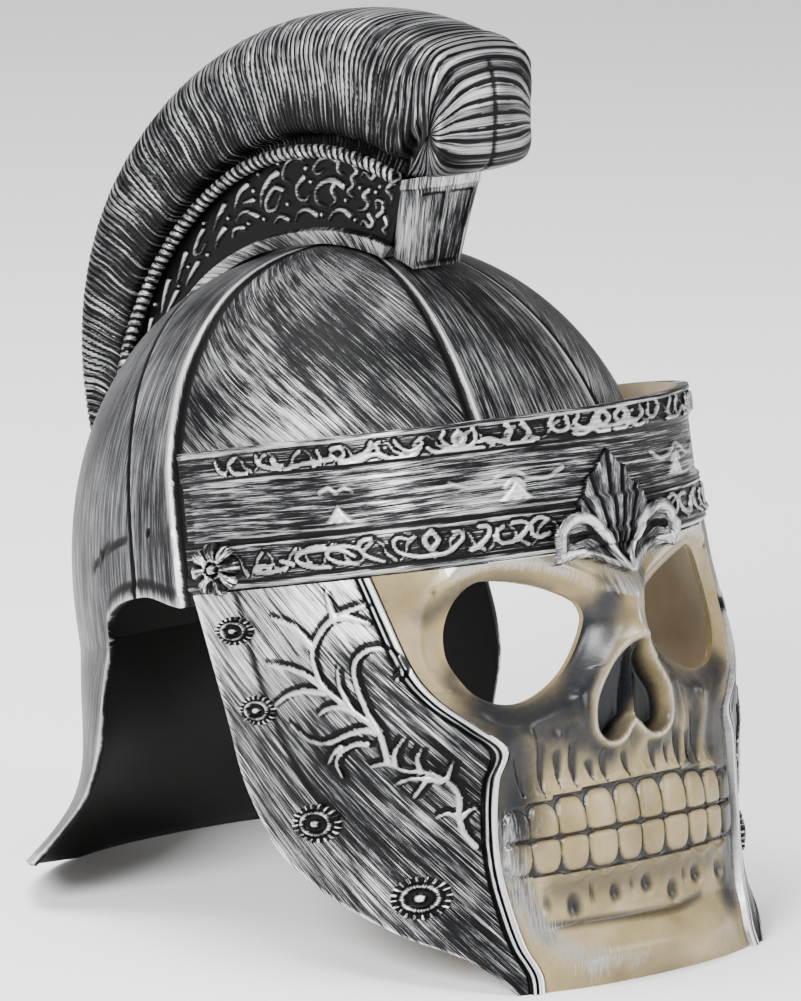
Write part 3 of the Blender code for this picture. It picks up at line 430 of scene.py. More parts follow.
CREST_Y = BOWL_CENTRE_Y - CREST_AHEAD
CREST_Z = BOWL_FOOT_Z + BOWL_CROWN - CREST_SINK


def crest_xyz(angle, radius, x=0.0):
    """Points round the crest's centre."""
    angle, radius, x = np.broadcast_arrays(angle, radius, x)
    return stacked(x, CREST_Y + radius * np.sin(angle), CREST_Z + radius * np.cos(angle))


def dome_radius(angle, x):
    """Distance from the crest's centre out to the dome."""
    angle, x = np.broadcast_arrays(np.asarray(angle, float), np.asarray(x, float))
    low = np.full(angle.shape, 0.3 * BOWL_CROWN)
    high = np.full(angle.shape, 1.6 * BOWL_CROWN)
    for _ in range(40):
        middle = (low + high) / 2
        point = crest_xyz(angle, middle, x)
        y, z = point[..., 1], point[..., 2]
        inside = (np.abs(y - BOWL_CENTRE_Y) < BOWL_HALF_LENGTH * 0.999) & (z < bowl_top(x, y))
        inside = np.where(z < BOWL_FOOT_Z, y - BOWL_CENTRE_Y < BOWL_HALF_LENGTH, inside)
        low = np.where(inside, middle, low)
        high = np.where(inside, high, middle)
    return low


def crest_angle(share):
    """Angle of a share of the crest's arc, from the front."""
    return CREST_FRONT_ANGLE + (CREST_BACK_ANGLE - CREST_FRONT_ANGLE) * share


def rope_radius(share):
    """Radius of the rope's middle, which is the plate's top."""
    return dome_radius(crest_angle(share), 0.0) + table_at(CREST_SECTIONS, share)[..., 1] * PLATE_HEIGHT


# Mesh building

class Build:
    """Collects grids of points into one mesh, with flow coordinates and a paint colour."""

    def __init__(self):
        self.points = []
        self.flow = []
        self.paint = []
        self.faces = []
        self.slots = []
        self.count = 0

    def add(self, points, flow=None, paint=None):
        """Point numbers of new points, in the shape of their grid."""
        points = np.asarray(points, float)
        shape = points.shape[:-1]
        flat = points.reshape(-1, 3)
        self.points.append(flat)
        self.flow.append(np.zeros((len(flat), 2)) if flow is None
                         else np.broadcast_to(flow, shape + (2,)).reshape(-1, 2))
        self.paint.append(np.zeros((len(flat), 3)) if paint is None
                          else np.broadcast_to(paint, shape + (3,)).reshape(-1, 3))
        index = self.count + np.arange(len(flat)).reshape(shape)
        self.count += len(flat)
        return index

    def quads(self, index, slot=0, flip=False, keep=None):
        """Faces over a grid of point numbers; keep leaves out the cells that are False."""
        cells = stacked(index[:-1, :-1], index[:-1, 1:], index[1:, 1:], index[1:, :-1])
        if keep is not None:
            cells = cells[keep]
        cells = cells.reshape(-1, 4)
        if flip:
            cells = cells[:, ::-1]
        self.faces += cells.tolist()
        self.slots += [slot] * len(cells)

    def strip(self, first, second, slot=0, flip=False):
        """Faces between two rows of point numbers of one length."""
        self.quads(np.stack([first, second]), slot, flip)

    def face(self, ring, slot=0, flip=False):
        """One face round a ring of point numbers."""
        ring = [int(value) for value in ring]
        self.faces.append(ring[::-1] if flip else ring)
        self.slots.append(slot)

    def finish(self, name, materials, replaces, merge=False, sharp=radians(50.0)):
        """Makes the object, riding on the root body and standing for the CAD nodes that it replaces."""
        points = to_world(above_floor(np.vstack(self.points)))
        mesh = bpy.data.meshes.new(name)
        mesh.from_pydata(points.tolist(), [], self.faces)
        corners = np.empty(len(mesh.loops), np.int32)
        mesh.loops.foreach_get("vertex_index", corners)
        layer = mesh.uv_layers.new(name="flow")
        layer.data.foreach_set("uv", (np.vstack(self.flow)[corners] / 100).astype(np.float32).ravel())
        paint = mesh.color_attributes.new(name="paint", type="FLOAT_COLOR", domain="POINT")
        colours = np.ones((len(points), 4), np.float32)
        colours[:, :3] = np.vstack(self.paint)
        paint.data.foreach_set("color", colours.ravel())
        for material in materials:
            mesh.materials.append(material)
        mesh.polygons.foreach_set("material_index", np.array(self.slots, np.int32))
        mesh.update()
        if merge:
            work = bmesh.new()
            work.from_mesh(mesh)
            bmesh.ops.remove_doubles(work, verts=work.verts, dist=1e-6)
            work.to_mesh(mesh)
            work.free()
        mesh.shade_smooth()
        mesh.set_sharp_from_angle(angle=sharp)
        piece = bpy.data.objects.new(name, mesh)
        bpy.context.scene.collection.objects.link(piece)
        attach(piece, "root")
        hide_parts(*replaces)


def spread_picks(count, picked):
    """Numbers picked evenly from a count, both ends among them."""
    return np.linspace(0, count - 1, picked).round().astype(int)


def join(build, fine, coarse, picks, flip):
    """Faces between a fine edge and the coarse edge that keeps its picked points."""
    for index, (low, high) in enumerate(zip(picks, picks[1:])):
        build.face([*fine[low:high + 1], coarse[index + 1], coarse[index]], 0, flip)


def close_rim(build, out, ins, row_picks, column_picks):
    """Faces round the four edges of an outer grid and its coarser inner grid."""
    join(build, out[0], ins[0], column_picks, True)
    join(build, out[-1], ins[-1], column_picks, False)
    join(build, out[:, 0], ins[:, 0], row_picks, False)
    join(build, out[:, -1], ins[:, -1], row_picks, True)


def shell(build, outer, inner, flow, paint, coarser=6):
    """Outer grid and coarser inner grid, joined round the edges; rows go up and columns go towards +X."""
    out = build.add(outer, flow, paint)
    build.quads(out)
    row_picks, column_picks = (spread_picks(count, (count - 1) // coarser + 1) for count in outer.shape[:2])
    picks = np.ix_(row_picks, column_picks)
    ins = build.add(inner[picks], flow[picks], paint[picks])
    build.quads(ins, 1, flip=True)
    close_rim(build, out, ins, row_picks, column_picks)


# Materials

def material(name):
    """A new material, its node tree and its shader."""
    made = bpy.data.materials.new(name)
    made.use_nodes = True
    return made, made.node_tree, made.node_tree.nodes["Principled BSDF"]


def node(tree, kind, **values):
    """A new node with its settings."""
    made = tree.nodes.new("ShaderNode" + kind)
    for key, value in values.items():
        setattr(made, key, value)
    return made


def link(tree, output, target):
    """Joins an output to an input."""
    tree.links.new(output, target)


def maths(tree, operation, first, second=None, third=None, clamp=False):
    """A Math node over sockets or numbers."""
    made = node(tree, "Math", operation=operation, use_clamp=clamp)
    for index, value in enumerate((first, second, third)):
        if value is None:
            continue
        if isinstance(value, (int, float)):
            made.inputs[index].default_value = value
        else:
            link(tree, value, made.inputs[index])
    return made.outputs[0]


def swing(tree, value, amount):
    """How far a value lies from a half, times an amount."""
    return maths(tree, "MULTIPLY", maths(tree, "SUBTRACT", value, 0.5), amount)


def ramp(tree, value, stops):
    """A colour ramp: (place, colour) stops."""
    made = node(tree, "ValToRGB")
    elements = made.color_ramp.elements
    while len(elements) < len(stops):
        elements.new(0.5)
    for element, (place, colour) in zip(elements, stops):
        element.position = place
        element.color = (*colour, 1.0)
    link(tree, value, made.inputs["Fac"])
    return made.outputs["Color"]


def mix(tree, share, first, second):
    """Two colours mixed by a share."""
    made = node(tree, "Mix", data_type="RGBA")
    for key, value in (("Factor", share), ("A", first), ("B", second)):
        target = made.inputs[key]
        if isinstance(value, (tuple, list)):
            target.default_value = (*value, 1.0)
        elif isinstance(value, (int, float)):
            target.default_value = value
        else:
            link(tree, value, target)
    return made.outputs["Result"]


def flow_noise(tree, along, across, detail=4.0, roughness=0.6, offset=0.0):
    """Noise drawn out along the flow; along and across are the sizes of its grain in millimetres."""
    coordinates = node(tree, "UVMap", uv_map="flow")
    mapping = node(tree, "Mapping")
    mapping.inputs["Scale"].default_value = (100 / along, 100 / across, 1.0)
    mapping.inputs["Location"].default_value = (offset, offset * 1.7, offset)
    link(tree, coordinates.outputs["UV"], mapping.inputs["Vector"])
    noise = node(tree, "TexNoise")
    noise.inputs["Scale"].default_value = 1.0
    noise.inputs["Detail"].default_value = detail
    noise.inputs["Roughness"].default_value = roughness
    link(tree, mapping.outputs["Vector"], noise.inputs["Vector"])
    return noise.outputs["Fac"]


def place_noise(tree, size, detail=3.0, offset=0.0):
    """Even noise over the object, its grain in millimetres."""
    coordinates = node(tree, "TexCoord")
    mapping = node(tree, "Mapping")
    mapping.inputs["Location"].default_value = (offset, offset, offset)
    link(tree, coordinates.outputs["Object"], mapping.inputs["Vector"])
    noise = node(tree, "TexNoise")
    noise.inputs["Scale"].default_value = 1000 / size
    noise.inputs["Detail"].default_value = detail
    link(tree, mapping.outputs["Vector"], noise.inputs["Vector"])
    return noise.outputs["Fac"]


def paint_parts(tree):
    """The paint colour's three channels: raised, wash and, by material, satin or painted shade."""
    colours = node(tree, "VertexColor", layer_name="paint")
    parts = node(tree, "SeparateColor")
    link(tree, colours.outputs["Color"], parts.inputs["Color"])
    return parts.outputs["Red"], parts.outputs["Green"], parts.outputs["Blue"]


def add_bump(tree, shader, height, strength, distance):
    """Fine relief from a height; the distance is in metres."""
    relief = node(tree, "Bump")
    relief.inputs["Strength"].default_value = strength
    relief.inputs["Distance"].default_value = distance
    link(tree, height, relief.inputs["Height"])
    link(tree, relief.outputs["Normal"], shader.inputs["Normal"])


def worn_silver(name, along, across, cover, silver, bite=1.0, bump=0.30, patch=34.0):
    """Silver brushed over black: silver where the paint channel is high, streaked along the flow.

    along and across are the streaks' size, cover is how much silver lies everywhere, bite is how much more
    of it lies on raised parts, silver is its brightness and patch is the size of its cloudy patches.
    """
    made, tree, shader = material(name)
    raised, wash, satin = paint_parts(tree)
    fine = flow_noise(tree, along, across, roughness=0.72)
    broad = flow_noise(tree, along * 1.8, across * 5, detail=3.0, offset=3.1)
    patches = place_noise(tree, patch, 3.0, 1.3)
    level = maths(tree, "MULTIPLY_ADD", fine, 2.5, -0.83 + cover)
    level = maths(tree, "ADD", level, swing(tree, broad, 1.2))
    level = maths(tree, "ADD", level, swing(tree, patches, 0.75))
    level = maths(tree, "ADD", level, swing(tree, raised, bite))
    even = maths(tree, "MULTIPLY_ADD", raised, 0.62, 0.27)
    level = maths(tree, "ADD", maths(tree, "MULTIPLY", level, maths(tree, "SUBTRACT", 1.0, satin)),
                  maths(tree, "MULTIPLY", even, satin))
    level = maths(tree, "SUBTRACT", level, maths(tree, "MULTIPLY", wash, 0.8))
    black, dark, grey = (0.0022, 0.0022, 0.0025), (0.011, 0.011, 0.0125), (0.085, 0.087, 0.092)
    pale = (silver, silver * 1.01, silver * 1.02)
    bright = tuple(min(value * 1.55, 0.92) for value in pale)
    colour = ramp(tree, level, ((0.28, black), (0.42, dark), (0.54, grey), (0.70, pale), (0.95, bright)))
    link(tree, colour, shader.inputs["Base Color"])
    metal = maths(tree, "MULTIPLY", maths(tree, "SUBTRACT", level, 0.38), 3.2, clamp=True)
    link(tree, maths(tree, "MULTIPLY", metal, 0.78), shader.inputs["Metallic"])
    shader.inputs["Specular IOR Level"].default_value = 0.08
    rough = maths(tree, "MULTIPLY_ADD", fine, 0.30, 0.20)
    link(tree, rough, shader.inputs["Roughness"])
    add_bump(tree, shader, maths(tree, "MULTIPLY", level, 1.0, clamp=True), bump, 0.0005)
    return made


def black_plastic(name):
    """Bare black plastic, faintly cloudy, inside the bowl."""
    made, tree, shader = material(name)
    clouds = place_noise(tree, 30.0, 3.0)
    link(tree, ramp(tree, clouds, ((0.3, (0.0022, 0.0020, 0.0018)), (0.7, (0.0060, 0.0052, 0.0045)))),
         shader.inputs["Base Color"])
    link(tree, maths(tree, "ADD", maths(tree, "MULTIPLY", clouds, 0.2), 0.42), shader.inputs["Roughness"])
    shader.inputs["Specular IOR Level"].default_value = 0.25
    return made


def tan_plastic(name):
    """Bare tan plastic on the mask's inner side."""
    made, tree, shader = material(name)
    clouds = place_noise(tree, 26.0, 4.0)
    link(tree, ramp(tree, clouds, ((0.3, (0.30, 0.225, 0.135)), (0.7, (0.42, 0.33, 0.21)))),
         shader.inputs["Base Color"])
    link(tree, maths(tree, "ADD", maths(tree, "MULTIPLY", clouds, 0.2), 0.30), shader.inputs["Roughness"])
    return made


def bone_plastic(name):
    """Tan skull with a blue-grey wash in its hollows, painted brown shade at the temples and under the brow,
    and silver dust on its edges.
    """
    made, tree, shader = material(name)
    silver, wash, shade = paint_parts(tree)
    clouds = place_noise(tree, 22.0, 5.0)
    grain = place_noise(tree, 2.2, 3.0, 2.0)
    bone = ramp(tree, clouds, ((0.25, (0.160, 0.120, 0.054)), (0.50, (0.245, 0.192, 0.096)),
                               (0.75, (0.34, 0.275, 0.152))))
    # Painted brown shade: the bone is darkened where the shade channel is high.
    bone_with_painted_shade = mix(tree, maths(tree, "MULTIPLY", shade, 0.8, clamp=True), bone, (0.085, 0.050, 0.022))
    spread = maths(tree, "ADD", wash, swing(tree, clouds, 0.35))
    spread = maths(tree, "ADD", spread, swing(tree, grain, 0.22))
    clear = maths(tree, "SUBTRACT", 1.10, spread, clamp=True)
    clear = maths(tree, "MULTIPLY", clear, clear, clamp=True)
    washed = mix(tree, maths(tree, "SUBTRACT", 1.0, clear, clamp=True), bone_with_painted_shade, (0.0075, 0.0085, 0.0110))
    dust = flow_noise(tree, 12.0, 0.6, roughness=0.72)
    dusted = maths(tree, "ADD", silver, swing(tree, dust, 2.4))
    dusted = maths(tree, "MULTIPLY", maths(tree, "SUBTRACT", dusted, 0.48, clamp=True), 2.4, clamp=True)
    link(tree, mix(tree, maths(tree, "MULTIPLY", dusted, 0.80), washed, (0.36, 0.36, 0.365)),
         shader.inputs["Base Color"])
    shader.inputs["Specular IOR Level"].default_value = 0.30
    link(tree, maths(tree, "MULTIPLY", dusted, 0.5), shader.inputs["Metallic"])
    link(tree, maths(tree, "ADD", maths(tree, "MULTIPLY", grain, 0.18), 0.20), shader.inputs["Roughness"])
    add_bump(tree, shader, grain, 0.15, 0.0003)
    return made


BOWL_SILVER = worn_silver("bowl_silver", along=23.0, across=0.30, cover=0.02, silver=0.46)
BAND_SILVER = worn_silver("band_silver", along=19.0, across=0.36, cover=0.05, silver=0.46, bite=0.95,
                          bump=0.35)
GUARD_SILVER = worn_silver("guard_silver", along=23.0, across=0.32, cover=0.02, silver=0.50)
BRUSH_SILVER = worn_silver("brush_silver", along=12.0, across=0.70, cover=-0.04, silver=0.34)
CREST_SILVER = worn_silver("crest_silver", along=14.0, across=0.50, cover=0.02, silver=0.44, bite=1.1)
TRIM_SILVER = worn_silver("trim_silver", along=7.0, across=0.70, cover=0.04, silver=0.50, patch=14.0)
BLACK = black_plastic("bowl_black")
TAN = tan_plastic("mask_tan")
BONE = bone_plastic("skull_bone")


# Bowl

# Lines of the side welts: distance from the middle, and y
FRONT_WELT = ((102.0, 127.5), (95.0, 133.0), (80.0, 136.0), (50.0, 136.0), (20.0, 132.0), (0.0, 130.0))
BACK_WELT = ((103.0, 153.0), (95.0, 157.0), (80.0, 162.5), (50.0, 168.0), (20.0, 172.0), (0.0, 174.0))
# Light and dark patches of the side panels: degrees round, height, spreads and amount
BOWL_PATCHES = (
    (50.0, 163.0, 7.0, 9.0, 0.34), (60.0, 178.0, 7.0, 16.0, 0.16), (31.0, 190.0, 11.0, 20.0, -0.20),
    (43.0, 200.0, 9.0, 11.0, -0.16), (66.0, 203.0, 7.0, 14.0, 0.06), (20.0, 176.0, 7.0, 12.0, 0.10),
)


def build_bowl():
    """Dome, ear notches and neck guard, silver outside and bare black inside."""
    build = Build()
    half_neck, half_front, rows, neck_rows = 70, 206, 102, 44
    shares = np.linspace(0, 1, half_neck)
    front = np.linspace(0, NECK_ANGLE, half_front)
    half = np.concatenate([front[:-1], NECK_ANGLE + (pi - NECK_ANGLE) * shares])
    angles = np.concatenate([-half[::-1], half[1:]])
    edge = hem_z(angles)
    lift = np.sin(np.linspace(pi / 2, 0.0, rows)) ** (2 / BOWL_CROWN_POWER)
    heights = edge[None, :] + (BOWL_FOOT_Z + BOWL_CROWN - edge[None, :]) * lift[:, None]
    grid_angles = np.broadcast_to(angles, heights.shape)
    base = bowl_xyz(grid_angles, heights)
    turn = np.abs(grid_angles)
    wide, deep = np.abs(base[..., 0]), base[..., 1]
    welt_front = np.interp(wide, *np.array(FRONT_WELT)[::-1].T)
    welt_back = np.interp(wide, *np.array(BACK_WELT)[::-1].T)
    from_front, from_back = deep - welt_front, deep - welt_back
    side_strip = step(from_front, -0.8, 0.8) * (1 - step(from_back, -0.8, 0.8))
    front_strip = 1 - step(turn, radians(14.4), radians(15.2))
    from_hem = heights - edge[None, :]
    notch = step(turn, radians(82), radians(88)) * (1 - step(turn, NECK_ANGLE - radians(2.5), NECK_ANGLE))
    bead = (1 - step(from_hem, 2.6, 4.4)) * notch
    welt = bell(from_front, 0, 1.5) + 0.45 * bell(from_back, 0, 1.1)
    welt = np.maximum(welt, 0.8 * bell(turn, radians(14.5), radians(0.55)))
    groove = bell(from_front, -4.6, 1.9) + 0.8 * bell(from_back, 2.2, 1.0)
    groove = groove + bell(turn, radians(16.1), radians(0.6))
    crease = np.zeros(turn.shape)
    for a, b, c, d in ((117.7, 122.5, 110.7, 129.5), (110.7, 129.5, 103.2, 132.5)):
        near, _ = to_line(np.degrees(turn) * 1.8, heights, np.array(((a * 1.8, b), (c * 1.8, d))), 5.0)
        crease = np.maximum(crease, bell(near, 0, 0.9))
    pit = np.exp(-(((turn - radians(94.0)) * 103) ** 2 + (heights - 133.5) ** 2) / 0.8)
    rise = STRIP_RISE * np.maximum(np.maximum(side_strip, front_strip), bead * 1.1)
    points = bowl_xyz(grid_angles, heights, rise + 0.8 * welt - 0.8 * groove - 0.6 * crease - 1.2 * pit)
    hem_line = bell(from_hem, 4.8, 0.9) * notch
    raised = 0.44 + 0.42 * welt + 0.30 * bead * (from_hem < 2.6)
    degrees = np.degrees(turn)
    for place, level, wide, tall, amount in BOWL_PATCHES:
        raised = raised + amount * spot(degrees, heights, place, level, wide, tall)
    wash = np.clip(1.1 * groove + 0.6 * crease + pit + 0.5 * hem_line, 0, 1)
    satin = 0.62 * step(from_back, -1.0, 1.0) + 0.45 * side_strip
    satin = np.clip(np.maximum(satin, 0.85 * np.clip(1.5 * (welt + groove), 0, 1)), 0, 0.85)
    paint = stacked(raised, wash, satin)
    arc = np.cumsum(np.linalg.norm(np.diff(base, axis=0, prepend=base[:1]), axis=-1), axis=0)
    along = np.abs(grid_angles) * 100.0
    slant = np.interp(along, (0, 25, 60, 110, 150, 154, 320), (9.0, 2.4, 1.7, 0.95, 0.85, 4.0, 9.0))
    spread = np.cumsum(slant[0] * np.abs(np.gradient(along[0])))
    spread = spread - spread[len(spread) // 2]
    panel = (turn > radians(15.0)) & (deep < welt_front)
    plain = stacked(arc, grid_angles * ROUND_BOWL)
    twisted = stacked((arc - along) * 0.7, (arc + np.abs(spread)[None, :]) * 0.62)
    flow = np.where(panel[..., None], twisted, plain)
    out = build.add(points, flow, paint)
    build.quads(out, flip=True)
    drops = np.linspace(0, 1, neck_rows)[:, None]
    grid_shares = np.broadcast_to(shares[None, :], (neck_rows, half_neck))
    left = neck_xyz(drops, grid_shares, 1)
    right = neck_xyz(drops, grid_shares, -1)
    neck = np.concatenate([left, right[:, ::-1][:, 1:]], axis=1)
    across = np.concatenate([shares, 2 - shares[::-1][1:]])[None, :]
    neck_flow = stacked(150 + drops * 90.0, across * 128.0 + 224.0)
    rim = step(drops, 0.94, 0.99)
    side_edge = bell(np.minimum(across, 2 - across), 0, 0.018)
    neck_paint = stacked(0.44 + 0.3 * rim + 0.3 * side_edge, 0.0, 0.6)
    neck_out = build.add(neck, neck_flow, neck_paint)
    build.quads(neck_out, flip=True)
    # The inner side has fewer rows
    picks = np.unique(np.append(np.arange(0, rows, 8), rows - 1))
    inner = (base - grid_normals(base, wrap=True) * BOWL_WALL)[picks]
    ins = build.add(inner, flow[picks])
    build.quads(ins, 1)
    neck_picks = np.unique(np.append(np.arange(0, neck_rows, 5), neck_rows - 1))
    neck_ins = build.add((neck - grid_normals(neck) * BOWL_WALL)[neck_picks], neck_flow[neck_picks])
    build.quads(neck_ins, 1)
    middle = slice(half_neck - 1, len(angles) - half_neck + 1)
    build.strip(out[-1][middle], ins[-1][middle], 0, flip=True)
    build.strip(neck_out[-1], neck_ins[-1], 0, flip=True)
    for column, flip in ((0, False), (-1, True)):
        join(build, neck_out[:, column], neck_ins[:, column], neck_picks, flip)
    build.finish("bowl_dressed", (BOWL_SILVER, BLACK), ("helmet_bowl",), merge=True)


def grid_normals(grid, wrap=False):
    """Outward unit normals of a grid whose rows go down and whose columns go towards +X in front."""
    down = np.gradient(grid, axis=0)
    if wrap:
        padded = np.concatenate([grid[:, -2:-1], grid, grid[:, 1:2]], axis=1)
        along = np.gradient(padded, axis=1)[:, 1:-1]
    else:
        along = np.gradient(grid, axis=1)
    normal = np.cross(down, along)
    length = np.linalg.norm(normal, axis=-1, keepdims=True)
    return normal / np.maximum(length, 1e-9)


# Brow band

# Scrolls on the band: width at both ends, then points as millimetres round from the middle and height share
LOWER_SCROLLS = (
    (0.9, 0.9, ((-71.5, 0.268), (-74.3, 0.214), (-72.4, 0.144), (-69.4, 0.201), (-71.3, 0.268))),
    (0.5, 0.8, ((-79.7, 0.227), (-83.8, 0.247), (-85.8, 0.204), (-83.5, 0.140), (-77.6, 0.104),
        (-72.7, 0.097))),
    (0.5, 0.8, ((-63.7, 0.241), (-61.1, 0.244), (-60.4, 0.197), (-63.3, 0.144), (-66.8, 0.107),
        (-71.7, 0.094))),
    (0.5, 0.8, ((-90.1, 0.094), (-96.2, 0.144), (-99.0, 0.207), (-97.6, 0.251), (-93.9, 0.258))),
    (0.6, 0.8, ((-54.1, 0.261), (-51.1, 0.254), (-51.1, 0.197), (-54.4, 0.137), (-58.3, 0.104))),
    (0.6, 0.7, ((-47.8, 0.221), (-48.2, 0.154), (-45.9, 0.124), (-41.6, 0.137), (-38.3, 0.177),
        (-36.9, 0.217))),
    (0.6, 0.7, ((-42.1, 0.258), (-38.4, 0.258), (-35.6, 0.214), (-35.3, 0.161), (-32.9, 0.137),
        (-28.9, 0.151))),
    (0.6, 0.7, ((-35.5, 0.237), (-32.2, 0.271), (-29.0, 0.251))),
    (0.6, 0.7, ((-100.4, 0.100), (-108.4, 0.124), (-112.2, 0.174), (-110.3, 0.214), (-105.1, 0.197),
        (-101.3, 0.154))),
    (0.6, 0.7, ((-99.5, 0.207), (-104.7, 0.231), (-111.7, 0.224), (-117.4, 0.224), (-124.2, 0.217),
        (-125.4, 0.157), (-119.9, 0.114), (-111.3, 0.094))),
    (0.6, 0.7, ((-125.1, 0.194), (-118.7, 0.241), (-112.9, 0.244))),
    (0.6, 0.7, ((-130.5, 0.120), (-138.7, 0.100), (-146.1, 0.117), (-144.9, 0.147), (-138.3, 0.137))),
    (0.6, 0.7, ((-133.1, 0.171), (-127.2, 0.137))),
)
UPPER_SCROLLS = (
    (0.9, 0.9, ((-56.9, 0.933), (-59.1, 0.893), (-57.6, 0.843), (-55.1, 0.890), (-56.9, 0.933))),
    (0.6, 0.6, ((-61.9, 0.946), (-63.3, 0.900), (-60.9, 0.846), (-57.7, 0.826), (-53.0, 0.836),
        (-51.3, 0.893), (-52.0, 0.943))),
    (0.6, 0.7, ((-68.4, 0.849), (-65.2, 0.813), (-60.5, 0.816), (-56.4, 0.800), (-49.4, 0.805))),
    (0.6, 0.8, ((-69.9, 0.890), (-72.0, 0.833), (-75.3, 0.803), (-82.1, 0.805), (-87.9, 0.846),
        (-94.6, 0.810), (-100.0, 0.803))),
    (0.6, 0.8, ((-88.5, 0.930), (-90.3, 0.876), (-94.3, 0.843), (-101.3, 0.813))),
    (0.6, 0.6, ((-79.8, 0.923), (-77.8, 0.870), (-74.5, 0.839), (-71.1, 0.866))),
    (0.6, 0.7, ((-86.8, 0.916), (-85.9, 0.853), (-83.2, 0.819))),
    (0.6, 0.7, ((-50.3, 0.849), (-46.6, 0.866), (-42.3, 0.829), (-37.7, 0.806), (-31.6, 0.812))),
    (0.9, 0.4, ((-40.3, 0.946), (-39.0, 0.893), (-40.3, 0.839))),
    (0.9, 0.4, ((-34.6, 0.940), (-32.5, 0.866), (-35.1, 0.826))),
    (0.6, 0.6, ((-104.6, 0.876), (-102.3, 0.839), (-99.3, 0.870), (-100.9, 0.920), (-104.4, 0.916))),
    (0.6, 0.6, ((-110.0, 0.913), (-109.1, 0.853), (-112.2, 0.812))),
    (0.6, 0.7, ((-124.9, 0.805), (-120.7, 0.825), (-113.4, 0.836), (-104.9, 0.843))),
    (0.6, 0.7, ((-137.8, 0.923), (-137.4, 0.876), (-133.1, 0.836), (-127.0, 0.819))),
    (0.6, 0.7, ((-148.9, 0.923), (-152.1, 0.886), (-150.0, 0.823), (-143.4, 0.805))),
    (0.6, 0.6, ((-159.2, 0.910), (-158.0, 0.849), (-154.7, 0.819))),
    (0.5, 0.6, ((-130.8, 0.886), (-129.6, 0.849), (-126.0, 0.839))),
    (0.6, 0.6, ((-23.6, 0.957), (-25.0, 0.906), (-22.3, 0.853), (-18.4, 0.866), (-18.6, 0.940))),
    (0.6, 0.6, ((-16.0, 0.823), (-12.7, 0.812), (-8.5, 0.839), (-5.7, 0.812), (-1.4, 0.813))),
    (0.8, 0.8, ((-5.2, 0.950), (-6.1, 0.906), (-4.2, 0.856), (-1.2, 0.903), (-3.6, 0.950))),
    (0.6, 0.8, ((-14.0, 0.940), (-15.5, 0.893), (-12.0, 0.853), (-8.0, 0.870))),
    (0.6, 0.8, ((0.6, 0.840), (5.5, 0.850), (8.0, 0.893), (6.5, 0.940))),
)
# Bright edges of the band's mouldings: height share and width
BAND_EDGES = ((0.022, 0.012), (0.300, 0.008), (0.362, 0.006), (0.772, 0.006), (0.806, 0.008), (0.968, 0.010))
# Ornaments between the borders, one of each kind as seen on the near side
SPADES = ((-105.3, 0.485), (-38.8, 0.508))
SWAGS = (
    (0.5, 0.7, ((-62.3, 0.589), (-55.7, 0.538), (-48.7, 0.548), (-43.7, 0.599), (-38.8, 0.622),
        (-34.4, 0.565), (-26.9, 0.545), (-20.9, 0.602))),
    (0.7, 0.7, ((-42.6, 0.508), (-39.1, 0.565), (-35.8, 0.508))),
    (0.8, 0.5, ((-111.9, 0.619), (-108.0, 0.645), (-105.2, 0.605), (-102.0, 0.635), (-98.5, 0.605))),
)


# What is added to the scrolls' widths for the thickness of the paint
SCROLL_SWELL = 0.35
# Plain hooks between the scrolls: first place and pitch, then each border's low and high share and first lean
HOOK_START = -156.0
HOOK_PITCH = 8.0
HOOK_COUNT = 40
HOOK_ROWS = ((0.085, 0.255, 1.0), (0.815, 0.935, -1.0))
HOOK_SHAPE = ((0.0, -0.48), (2.4, -0.20), (3.4, 0.14), (6.4, 0.42))


def both_sides(strokes):
    """Strokes and their mirror images across the middle."""
    return tuple(strokes) + tuple((a, b, tuple((-x, y) for x, y in points)) for a, b, points in strokes)


